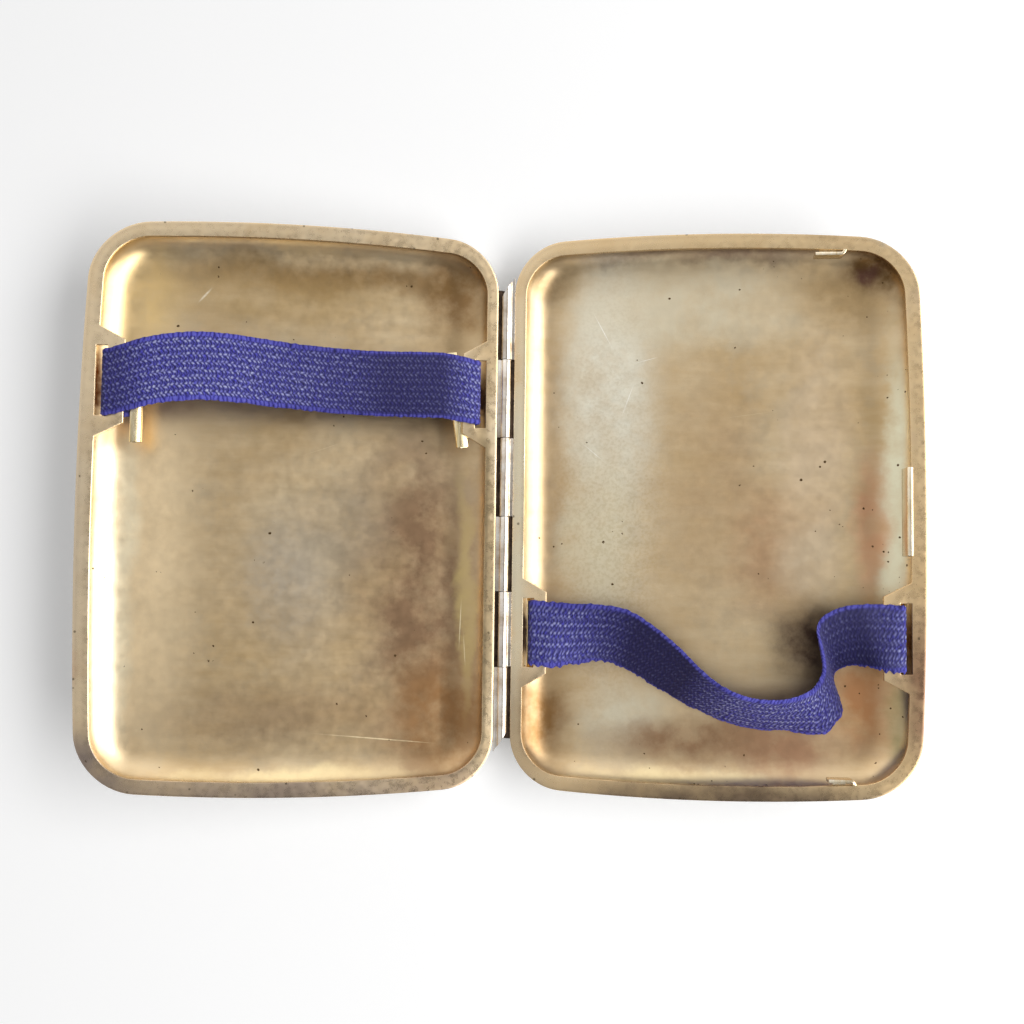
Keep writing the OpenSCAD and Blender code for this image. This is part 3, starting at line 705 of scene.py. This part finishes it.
# Knuckles: six lengths of drawn silver tube on one pin, taken in turn by the two halves, each with a
# narrow web soldered flush with its own rim. The first and last are filed off at a slant.
hinge_half_l = 46 * mm
knuckle_joints = [29.7 * mm, 14.4 * mm, -0.9 * mm, -15.4 * mm, -29.8 * mm]
knuckle_play = 0.05 * mm
knuckle_arris = 0.06 * mm
end_slant = 58
web_z = bearer_top + seat_gap
tube_steps = 40
web_high = math.degrees(math.asin(-rim_gap / knuckle_r))
web_low = math.degrees(math.asin(web_z / knuckle_r))
around = 360 + web_low - web_high
tube = [on_arc(knuckle_r, web_high + around * i / tube_steps) for i in range(tube_steps + 1)]
tube += [Vector((wall_x, 0, web_z)), Vector((wall_x, 0, -rim_gap))]
bore = [on_arc(knuckle_hole_r, 360 * i / tube_steps) for i in range(tube_steps)]
cuts = [hinge_half_l, *knuckle_joints, -hinge_half_l]
turns = [(side, level) for level in ("upper", "middle", "lower") for side in ("right", "left")]
for (side, level), high, low in zip(turns, cuts, cuts[1:]):
    knuckle = prism([tube, bore], (0, low + knuckle_play, 0), (0, high - low - 2 * knuckle_play, 0),
                    knuckle_arris)
    end = 1 if high == hinge_half_l else -1 if low == -hinge_half_l else 0
    if end:
        slant = math.radians(end * end_slant)
        bpy.ops.object.mode_set(mode="EDIT")
        bpy.ops.mesh.select_all(action="SELECT")
        bpy.ops.mesh.bisect(plane_co=(axis_gap, end * hinge_half_l, 0), use_fill=True, clear_outer=True,
                            plane_no=(-end * math.sin(slant), end * math.cos(slant), 0))
        bpy.ops.object.mode_set(mode="OBJECT")
    knuckle.data.materials.append(hinge_silver)
    piece = fit(knuckle, side + "_tube_" + level, side)
    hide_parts(side + "_knuckle_" + level)


# Pin: a length of steel wire pushed through all six knuckles. It ends inside the first and the last,
# so that only their open mouths show.
pin_r = 0.45 * mm
pin_half_l = 41 * mm
pin_arris = 0.12 * mm
pin_steel, tree = material("pin_wire")
# Hard-drawn steel wire, greyed by handling
point = add(tree, "TexCoord").outputs["Object"]
drawn = streaked(tree, point, (6, 0.3, 6), {"Scale": 900.0, "Detail": 3.0})
tone = add(tree, "ValToRGB", {0: drawn}, stops=[(0.3, "#8e8a86"), (0.7, "#b9b5b0")])
metal = add(tree, "BsdfPrincipled", {"Base Color": tone, "Metallic": 1.0, "Roughness": 0.3})
add(tree, "OutputMaterial", {"Surface": metal})
bpy.ops.object.select_all(action="DESELECT")
bpy.ops.mesh.primitive_cylinder_add(vertices=32, radius=pin_r, depth=2 * pin_half_l, location=(0, 0, rest_z),
                                    rotation=(math.pi / 2, 0, 0))
pin = bpy.context.object
bpy.ops.object.transform_apply(location=True, rotation=True, scale=True)
soften(pin, pin_arris, segments=3)
bpy.ops.object.shade_smooth_by_angle(angle=math.radians(35))
pin.name = pin.data.name = "hinge_wire"
pin.data.materials.append(pin_steel)
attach(pin, "left_half")
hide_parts("hinge_pin")


# Elastics: half-inch knitted tape, violet-blue, one across each tray. The left one is still tight
# between its ears. The right one has perished: it drops into the tray, rolls, stands on its edge
# near the catch and climbs back. Eight zigzag wales of stitches run along it between plain selvedges.
tape_w = 12.7 * mm
tape_t = 0.8 * mm
tape_drawn_in = 0.1 * mm
tape_half_w = tape_w / 2 - tape_drawn_in
tape_play = 0.05 * mm
bend_z = -rim_gap - rim_t / 2
bend_r = rim_t / 2 + tape_play + tape_t / 2
bend_in = 0.2 * mm
bend_catch_u = cover_w - rim_w - slot_w - bend_in
bend_hinge_u = rim_hinge_w + slot_w + bend_in
bend_steps = 4
clip_w = 2.3 * mm
outer_clip_shift = -1.9 * mm
hinge_clip_shift = -1.3 * mm
slack_clip_top = -2 * mm
outer_clip_u = 66.7 * mm
outer_clip_z = bend_z - bend_r
hinge_clip_u = 6.75 * mm
hinge_clip_z = -1.85 * mm
hinge_clip_slew = math.radians(-8)
outer_clip_lean = math.radians(-10)
outer_clip_drop = 0.3 * mm
grip = 1.2 * mm
mouth_gap = 0.1 * mm
left_askew = 0.3 * mm

# Places along each tape, in mm: u, v and height of its far edge, then of its near edge
left_span = [
    (70.7, 29.4, 0.9, 70.4, 16.8, 0.7), (67, 30.6, 1.6, 66.7, 17.9, 1.3),
    (62.5, 31.5, 2.3, 62.2, 18.8, 2), (57.5, 32, 2.9, 57.3, 19.3, 2.4),
    (51.5, 31.9, 3.1, 51.3, 19.3, 2.4), (45, 31.2, 3, 44.8, 18.8, 1.8),
    (38.5, 30.5, 2.9, 38.3, 18.4, 0.9), (32, 30.1, 2.8, 31.8, 18.1, 0.1),
    (25, 29.9, 2.4, 24.8, 17.9, -0.3), (18, 30.1, 2, 17.8, 17.8, 0.2),
    (11.5, 30.3, 1.4, 11.3, 17.7, 0.9), (7.3, 29.9, 0.9, 7.1, 17.2, 0.7),
]
right_span = [
    (8, -17.2, 0.8, 7.8, -29.8, 0.6), (12, -17.5, 1.7, 11.5, -29.3, -2),
    (17, -17.6, 2.2, 16.2, -28.7, -3.8), (22.5, -18.6, 2.6, 20.4, -29.4, -4.4),
    (27.5, -21.7, 2.8, 24.2, -31.4, -5.2), (32, -25.4, 2.8, 28.2, -33.8, -6.2),
    (36.2, -29.6, 2.8, 32.5, -36.2, -7.1), (40, -32.5, 2.8, 36.8, -38.3, -7.5),
    (44.5, -34.4, 2.8, 42.2, -40.3, -7.6), (49.5, -34.9, 2.7, 48.3, -41.4, -7.6),
    (53.5, -34.2, 2.6, 54.2, -41.8, -7.5), (56.4, -32.6, 2.8, 60.1, -41.9, -7.1),
    (57.8, -30.6, 3.2, 63.2, -38.4, -6.7), (58.3, -28.6, 3.8, 62.8, -35.4, -6.7),
    (58.1, -26.4, 4.1, 61.8, -32.4, -6.9), (57.6, -24, 4.1, 61.8, -30.4, -6.6),
    (57.1, -21.4, 4, 63, -29.2, -5.4), (58.2, -19.2, 3.6, 64.6, -28.7, -3.8),
    (61.4, -17.5, 3, 66.5, -28.6, -2.2), (65.5, -16.9, 2.2, 68.5, -28.9, -0.4),
    (69.4, -16.8, 1, 70.4, -29.4, 0.55),
]


def across(u, y, z, lean=0.0):
    """A place straight across the tape: its far edge and its near edge."""
    x = axis_gap + u
    return Vector((x + lean, y + tape_half_w, z)), Vector((x - lean, y - tape_half_w, z))


def bend(u, side, a0, a1, y):
    """Places where the tape goes round the edge of a slot, side +1 at the catch side."""
    angles = [math.radians(a0 + (a1 - a0) * i / bend_steps) for i in range(bend_steps + 1)]
    return [across(u + side * bend_r * math.cos(a), y, bend_z + bend_r * math.sin(a)) for a in angles]


def span(places):
    """Places given in mm, as far and near edges on the half."""
    return [(Vector((axis_gap + a * mm, b * mm, c * mm)), Vector((axis_gap + d * mm, e * mm, f * mm)))
            for a, b, c, d, e, f in places]


def smooth(points):
    """A smooth curve through the points."""
    made = []
    for i in range(len(points) - 1):
        a, b, c, d = points[max(i - 1, 0)], points[i], points[i + 1], points[min(i + 2, len(points) - 1)]
        for k in range(curve_steps):
            t = k / curve_steps
            made.append(0.5 * (2 * b + (c - a) * t + (2 * a - 5 * b + 4 * c - d) * t * t
                               + (3 * b - a - 3 * c + d) * t ** 3))
    return made + [points[-1]]


wales = 8
selvedge = 0.85 * mm
wale_w = (tape_w - 2 * selvedge) / wales
stitch = 0.82 * mm
stitch_rise = 0.15 * mm
loop_w = 0.15
loop_shift = 0.17
loop_lean = 1.1
wale_step = 0.37
bar_rise = 0.7
bar_w = 0.2
thin_edge = 0.32 * mm
edge_share = 0.25
edge_painted_light = 0.62
curve_steps = 24
row_pitch = 0.16 * mm
fine_columns = 66
back_columns = 34
back_shift = 0.4 * stitch


def uneven(x, y, seed):
    """Smooth noise from -1 to 1, another one for each seed."""
    return noise.noise(Vector((x, y, seed)))


def ripple(turns):
    """Up to 1 and down to 0 once in each turn."""
    return 0.5 + 0.5 * math.cos(2 * math.pi * turns)


def knit(along, over):
    """How high the knit stands there, 0 to 1, and its painted highlight: two staggered rows of loops to a
    wale.
    """
    r = (over + tape_w / 2 - selvedge) / wale_w
    if r < 0 or r > wales:
        # A selvedge has no loops, only a shallow dent to each stitch
        tick = ripple(along / stitch + 0.6 * uneven(along / mm, r, 7))
        return 0.75 - 0.6 * tick ** 3 + 0.3 * uneven(along / (0.3 * mm), r, 3), 0.12 * (1 - tick)
    wale = math.floor(r)
    c = r - wale - 0.5
    # Each wale is out of step with the last, and its stitches are a little uneven
    phase = along / stitch + wale_step * wale + 0.3 * uneven(along / (3 * mm), r, 0)
    phase += 0.45 * uneven(along / (0.9 * mm), wale * 3, 9)
    loops = 0
    for shift, late, lean in ((-loop_shift, 0, loop_lean), (loop_shift, 0.5, -loop_lean)):
        near = math.exp(-((c - shift) / loop_w) ** 2)
        loops += near * ripple(phase + late + lean * (c - shift)) ** 1.5
    # Bars of thread lie across the grooves between the wales, two to a stitch
    bars = bar_rise * math.exp(-((abs(c) - 0.5) / bar_w) ** 2) * ripple(2 * phase) ** 2
    # The tops of the loops get a painted highlight, uneven along the tape, and the bars a little of it
    pale = loops ** 1.3 * (0.72 + 1.5 * uneven(along / (0.6 * mm), r * 2, 5)) + 0.16 * bars
    return min(1, loops + bars), max(0, min(1, pale))


def painted_light_at(share, painted_light):
    """The painted light and shade at a share of the tape's length, between the two places given round it."""
    k = max(j for j in range(len(painted_light) - 1) if painted_light[j][0] <= share)
    (start, before), (end, after) = painted_light[k], painted_light[k + 1]
    return before + (after - before) * min(1, (share - start) / (end - start))


def tape(name, places, painted_light, ragged, torn):
    """The knitted tape through those places, as a closed mesh with a fine side, two edges and a back.

    Its painted light and shade are given at some shares of its length, ragged tells how far its near and its
    far edge stray, and torn gives the share, length and depth of the bites out of its near edge.
    """
    far = smooth([p[0] for p in places])
    near = smooth([p[1] for p in places])
    middle = [(a + b) / 2 for a, b in zip(far, near)]
    run = [0.0]
    for p, q in zip(middle, middle[1:]):
        run.append(run[-1] + (q - p).length)
    count = round(run[-1] / row_pitch)
    rows = []
    k = 0
    for i in range(count + 1):
        s = run[-1] * i / count
        while k < len(run) - 2 and run[k + 1] < s:
            k += 1
        t = (s - run[k]) / max(run[k + 1] - run[k], 1e-9)
        rows.append((s, far[k].lerp(far[k + 1], t), near[k].lerp(near[k + 1], t)))
    section = [(-1 + 2 * j / fine_columns, 1) for j in range(fine_columns + 1)]
    section += [(1 - 2 * j / back_columns, -1) for j in range(1, back_columns)]
    verts, heights, pales, lit_levels, widths = [], [], [], [], []
    for i, (s, a, b) in enumerate(rows):
        lit_level = painted_light_at(s / run[-1], painted_light)
        before, after = rows[max(i - 3, 0)], rows[min(i + 3, count)]
        going = after[1] + after[2] - before[1] - before[2]
        up = going.cross(b - a).normalized()
        bitten = sum(depth / (tape_w / 2) * math.exp(-((s - at * run[-1]) / length) ** 4)
                     for at, length, depth in torn)
        # t runs from -1 at the far edge to 1 at the near one, and face is 1 on the fine side
        for t, face in section:
            over = t * tape_w / 2
            inward = min(1, (1 - abs(t)) * tape_w / 2 / thin_edge)
            rise, pale = knit(s + (0 if face > 0 else back_shift), over)
            body = (tape_t / 2 - stitch_rise) * (edge_share + (1 - edge_share) * math.sqrt(inward))
            stray = uneven(s / (0.9 * mm), 3 * t, 1) + 0.7 * uneven(s / (4 * mm), 3 * t, 2)
            scallop = 1 + abs(t) ** 10 * ragged[t < 0] * stray
            if t > 0:
                scallop -= t ** 4 * bitten
            lifted = up * face * (body + stitch_rise * rise * inward)
            verts.append((a + b) / 2 + (b - a) / 2 * t * scallop + lifted)
            heights.append(rise)
            pales.append(pale)
            # Along both selvedges the level is kept up: a painted highlight on the tape's edges
            lit_levels.append(max(lit_level, edge_painted_light) if tape_w / 2 - abs(over) < selvedge / 2 else lit_level)
            widths.append((t / 2 + 0.5, s / tape_w))
    ring = len(section)
    faces = [(i * ring + j, i * ring + (j + 1) % ring, (i + 1) * ring + (j + 1) % ring, (i + 1) * ring + j)
             for i in range(count) for j in range(ring)]
    faces += [tuple(reversed(range(ring))), tuple(range(count * ring, (count + 1) * ring))]
    mesh = bpy.data.meshes.new(name)
    mesh.from_pydata(verts, [], faces)
    for kind, values in (("knit", heights), ("pale", pales), ("painted_light", lit_levels)):
        mesh.attributes.new(kind, "FLOAT", "POINT").data.foreach_set("value", values)
    threads = mesh.uv_layers.new(name="threads")
    for loop, uv in zip(mesh.loops, threads.data):
        uv.uv = widths[loop.vertex_index]
    made = bpy.data.objects.new(name, mesh)
    bpy.context.collection.objects.link(made)
    pick(made)
    bpy.ops.object.mode_set(mode="EDIT")
    face_out()
    bpy.ops.object.mode_set(mode="OBJECT")
    return made


elastic, tree = material("knitted_elastic")
# Mercerised cotton over rubber: violet-blue, darker in the gaps between loops and pale on their tops,
# painted shade and painted highlights
knitted = add(tree, "Attribute", attribute_name="knit")
thread_map = add(tree, "UVMap", uv_map="threads")
fibre = streaked(tree, thread_map, (60, 14, 1), {"Scale": 2.2, "Detail": 4.0, "Roughness": 0.7})
highlight_patches = add(tree, "TexNoise", {"Vector": thread_map, "Scale": 1.6, "Detail": 3.0})
mixed = add(tree, "Math", {0: fibre, 1: 1.1, 2: -0.55}, operation="MULTIPLY_ADD")
level = add(tree, "Math", {0: knitted.outputs["Fac"], 1: mixed}, operation="ADD")
tone = add(tree, "ValToRGB", {0: level},
           stops=[(0.0, "#1b1848"), (0.3, "#312d8c"), (0.65, "#4a47be"), (1.0, "#5d5ad0")])
loop_pale = add(tree, "Attribute", attribute_name="pale")
painted_light = add(tree, "Attribute", attribute_name="painted_light")
# Painted shade where the tape's painted light is low, and more painted highlight on the loops where it is
# high
painted_shade = add(tree, "MapRange", {0: painted_light.outputs["Fac"], 3: 0.9, 4: 0.0})
colour = add(tree, "Mix", {0: painted_shade, 6: tone, 7: "#17123c"}, data_type="RGBA").outputs[2]
patch = add(tree, "MapRange", {0: highlight_patches, 1: 0.35, 2: 0.65, 3: 0.7, 4: 1.0})
strong = add(tree, "MapRange", {0: painted_light.outputs["Fac"], 3: 0.12, 4: 1.35})
amount = add(tree, "Math", {0: loop_pale.outputs["Fac"], 1: strong}, operation="MULTIPLY")
amount = add(tree, "Math", {0: amount, 1: patch}, operation="MULTIPLY", use_clamp=True)
colour = add(tree, "Mix", {0: amount, 6: colour, 7: "#b8bcdc"}, data_type="RGBA").outputs[2]
bump = add(tree, "Bump", {"Height": fibre, "Strength": 0.5, "Distance": 0.04 * mm})
cloth = add(tree, "BsdfPrincipled", {"Base Color": colour, "Roughness": 0.72, "Normal": bump,
                                     "Sheen Weight": 0.25, "Sheen Roughness": 0.4,
                                     "Sheen Tint": "#b9b6ea", "Specular IOR Level": 0.3})
add(tree, "OutputMaterial", {"Surface": cloth})

outer_y = strap_y["left"] - left_askew
hinge_y = strap_y["left"] + left_askew
lean = -tape_half_w * math.sin(hinge_clip_slew)
mouth_u = hinge_clip_u - mouth_gap
left_places = [across(outer_clip_u + clip_w - grip, outer_y, outer_clip_z)]
left_places += bend(bend_catch_u, 1, -90, 90, outer_y) + span(left_span)
left_places += bend(bend_hinge_u, -1, 90, -90, hinge_y)
left_places += [across(u, hinge_y, hinge_clip_z, lean) for u in (mouth_u, mouth_u + grip)]
foot = slack_clip_top - grip
right_places = [across(bend_hinge_u - bend_r, strap_y["right"], foot)]
right_places += bend(bend_hinge_u, -1, 0, 90, strap_y["right"]) + span(right_span)
right_places += bend(bend_catch_u, 1, 90, 0, strap_y["right"])
right_places += [across(bend_catch_u + bend_r, strap_y["right"], foot)]
# Painted light and shade along each tape, by share of its length, for how each stretch faces the lamp
left_painted_light = [(0, 0.2), (0.12, 0.35), (0.2, 1.0), (0.38, 1.0), (0.5, 0.68), (0.64, 0.35), (0.72, 0.1),
              (0.85, 0.1), (0.92, 0.9), (1, 0.9)]
right_painted_light = [(0, 0.75), (0.12, 0.75), (0.25, 0.0), (0.38, 0.0), (0.5, 1.1), (0.64, 1.2), (0.72, 0.2),
               (0.89, 0.0), (0.94, 0.35), (0.97, 1.0), (1, 1.0)]
right_torn = [(0.6, 1.6 * mm, 1.1 * mm), (0.69, 0.7 * mm, 0.6 * mm), (0.44, 0.6 * mm, 0.4 * mm)]
for side, places, painted_light, ragged, torn, held, length in (
        ("left", left_places, left_painted_light, (0.03, 0.02), [], "stretched", 81 * mm),
        ("right", right_places, right_painted_light, (0.09, 0.035), right_torn, "hung", 97 * mm)):
    strap = tape(side, places, painted_light, ragged, torn)
    strap.data.materials.append(elastic)
    piece = fit(strap, side + "_elastic", side, angle=80)
    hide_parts(side + "_strap")


# Clips: a strip of gilt brass folded over each end of a tape and squeezed shut, so that the end
# can't pull back through its slot. The left pair has been drawn up under the ears.
clip_l = 18.6 * mm
clip_t = 1.6 * mm
clip_cut = 1.05 * mm
clip_wall = 0.9 * mm
clip_arris = 0.1 * mm
clip_steps = 10
clip_brass, tree = material("gilt_clip_brass")
# Bright gilding on brass that fingers don't reach, so it has kept its colour
point = add(tree, "TexCoord").outputs["Object"]
rolled = streaked(tree, point, (5, 0.6, 5), {"Scale": 420.0, "Detail": 4.0})
tone = add(tree, "ValToRGB", {0: rolled}, stops=[(0.3, "#e6cd96"), (0.7, "#f6e8c4")])
gloss = add(tree, "MapRange", {0: rolled, 3: 0.16, 4: 0.34})
metal = add(tree, "BsdfPrincipled", {"Base Color": tone, "Metallic": 1.0, "Roughness": gloss})
add(tree, "OutputMaterial", {"Surface": metal})

fold_r = clip_t / 2
lip_z = clip_cut / 2
section = [Vector((clip_w, 0, fold_r))]
section += [Vector((fold_r, 0, 0)) + on_arc(fold_r, 90 + 180 * i / clip_steps)
            for i in range(clip_steps + 1)]
section += [Vector((x, 0, z)) for x, z in ((clip_w, -fold_r), (clip_w, -lip_z), (clip_wall, -lip_z),
                                          (clip_wall, lip_z), (clip_w, lip_z))]
clip = prism([section], (0, -clip_l / 2, 0), (0, clip_l, 0), clip_arris)
clip.data.materials.append(clip_brass)
outer_turn = Matrix.Rotation(outer_clip_lean, 4, "Y")
hinge_turn = Matrix.Rotation(hinge_clip_slew, 4, "Z") @ Matrix.Rotation(math.pi, 4, "Z")
slack_turn = Matrix.Rotation(-math.pi / 2, 4, "Y")
left_y = strap_y["left"]
right_y = strap_y["right"]
slack_z = slack_clip_top - clip_w
clip_places = [
    ("left", "outer", (outer_clip_u, left_y + outer_clip_shift, outer_clip_z - outer_clip_drop), outer_turn),
    ("left", "hinge", (hinge_clip_u + clip_w, left_y + hinge_clip_shift, hinge_clip_z), hinge_turn),
    ("right", "outer", (bend_catch_u + bend_r, right_y, slack_z), slack_turn),
    ("right", "hinge", (bend_hinge_u - bend_r, right_y, slack_z), slack_turn),
]
for side, end, (u, v, z), turn in clip_places:
    place = Matrix.Translation((axis_gap + u, v, z)) @ turn
    piece = fit(clip, side + "_clip_" + end, side, place, copy=(side, end) != ("right", "hinge"))
    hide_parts(side + "_strap_clip_" + end)


# Catch: a springy gilt blade soldered under the right rim, that stands up just inside its edge and
# snaps behind the left rim when the case shuts. Its top is rubbed bright.
catch_h = 2.2 * mm
catch_l = 16.6 * mm
blade_t = 1.2 * mm
rim_play = 0.1 * mm
foot_l = 1.3 * mm
foot_t = 0.6 * mm
catch_depth = 2.4 * mm
top_r = 0.3 * mm
catch_arris = 0.12 * mm
catch_y = 0.5 * mm
under = under_rim - seat_gap
inner_x = axis_gap + cover_w - rim_w - rim_play - blade_t
blade = [(0, -catch_depth), (blade_t, -catch_depth), (blade_t, under - foot_t),
         (blade_t + foot_l, under - foot_t), (blade_t + foot_l, under), (blade_t, under),
         (blade_t, catch_h - top_r), (blade_t - top_r, catch_h), (top_r, catch_h), (0, catch_h - top_r)]
section = [Vector((inner_x + x, 0, z)) for x, z in blade]
catch = prism([section], (0, catch_y - catch_l / 2, 0), (0, catch_l, 0), catch_arris, segments=3)
catch_gilt, tree = material("rubbed_gilding")
# Gilding worn almost to the silver on the parts that rub, so it is pale and shiny
point = add(tree, "TexCoord").outputs["Object"]
rubbed = streaked(tree, point, (4, 0.5, 4), {"Scale": 500.0, "Detail": 4.0})
tone = add(tree, "ValToRGB", {0: rubbed}, stops=[(0.3, "#e0c9a0"), (0.65, "#f0e6d0")])
gloss = add(tree, "MapRange", {0: rubbed, 3: 0.15, 4: 0.32})
metal = add(tree, "BsdfPrincipled", {"Base Color": tone, "Metallic": 1.0, "Roughness": gloss})
add(tree, "OutputMaterial", {"Surface": metal})
catch.data.materials.append(catch_gilt)
piece = fit(catch, "catch_blade", "right")
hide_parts("catch_lip")


# Locating lugs: two bent strips inside the ends of the right rim. They stand a millimetre proud and
# centre the other half as it comes down. Each turns back to the rim at its catch-side end.
lug_h = 1.1 * mm
lug_t = 0.6 * mm
face_y = 49.9 * mm
bend_out = 1.0 * mm
gap_to_rim = 0.15 * mm
lug_depth = 1 * mm
lug_arris = 0.1 * mm
hook_steps = 8
lug_foot_in = 1 * mm
lug_foot_out = 1.6 * mm
lug_foot_reach = 1.9 * mm
lug_foot_t = 0.5 * mm
for level, u_from, u_to, end in (("upper", 57.4 * mm, 63.2 * mm, 1), ("lower", 59.6 * mm, 64.6 * mm, -1)):
    rim_y = bowed(u_to, half_l - rim_w).y - gap_to_rim
    turn = (u_to - bend_out, face_y - lug_t + bend_out)
    hook = [math.radians(-90 + 90 * i / hook_steps) for i in range(hook_steps + 1)]
    strip = [(u_from, face_y), (u_from, face_y - lug_t)]
    strip += [(turn[0] + bend_out * math.cos(a), turn[1] + bend_out * math.sin(a)) for a in hook]
    strip += [(u_to, rim_y), (u_to - lug_t, rim_y)]
    strip += [(turn[0] + (bend_out - lug_t) * math.cos(a), turn[1] + (bend_out - lug_t) * math.sin(a))
              for a in reversed(hook)]
    lug = prism([[Vector((axis_gap + u, end * v, 0)) for u, v in strip]], (0, 0, under - lug_depth),
                (0, 0, lug_h - under + lug_depth), lug_arris)
    bpy.ops.object.mode_set(mode="EDIT")
    foot_from = u_from + lug_foot_in
    foot_to = u_to - lug_foot_out
    foot_v = face_y + lug_foot_reach
    corners = ((foot_from, face_y), (foot_to, face_y), (foot_to, foot_v), (foot_from, foot_v))
    bpy.ops.mesh.select_all(action="DESELECT")
    new_loop([Vector((axis_gap + u, end * v, under - lug_foot_t)) for u, v in corners])
    bpy.ops.mesh.edge_face_add()
    bpy.ops.mesh.extrude_region_move(TRANSFORM_OT_translate={"value": (0, 0, lug_foot_t)})
    face_out()
    bpy.ops.object.mode_set(mode="OBJECT")
    lug.data.materials.append(catch_gilt)
    piece = fit(lug, "lug_" + level, "right")
    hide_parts("locating_lug_" + level)
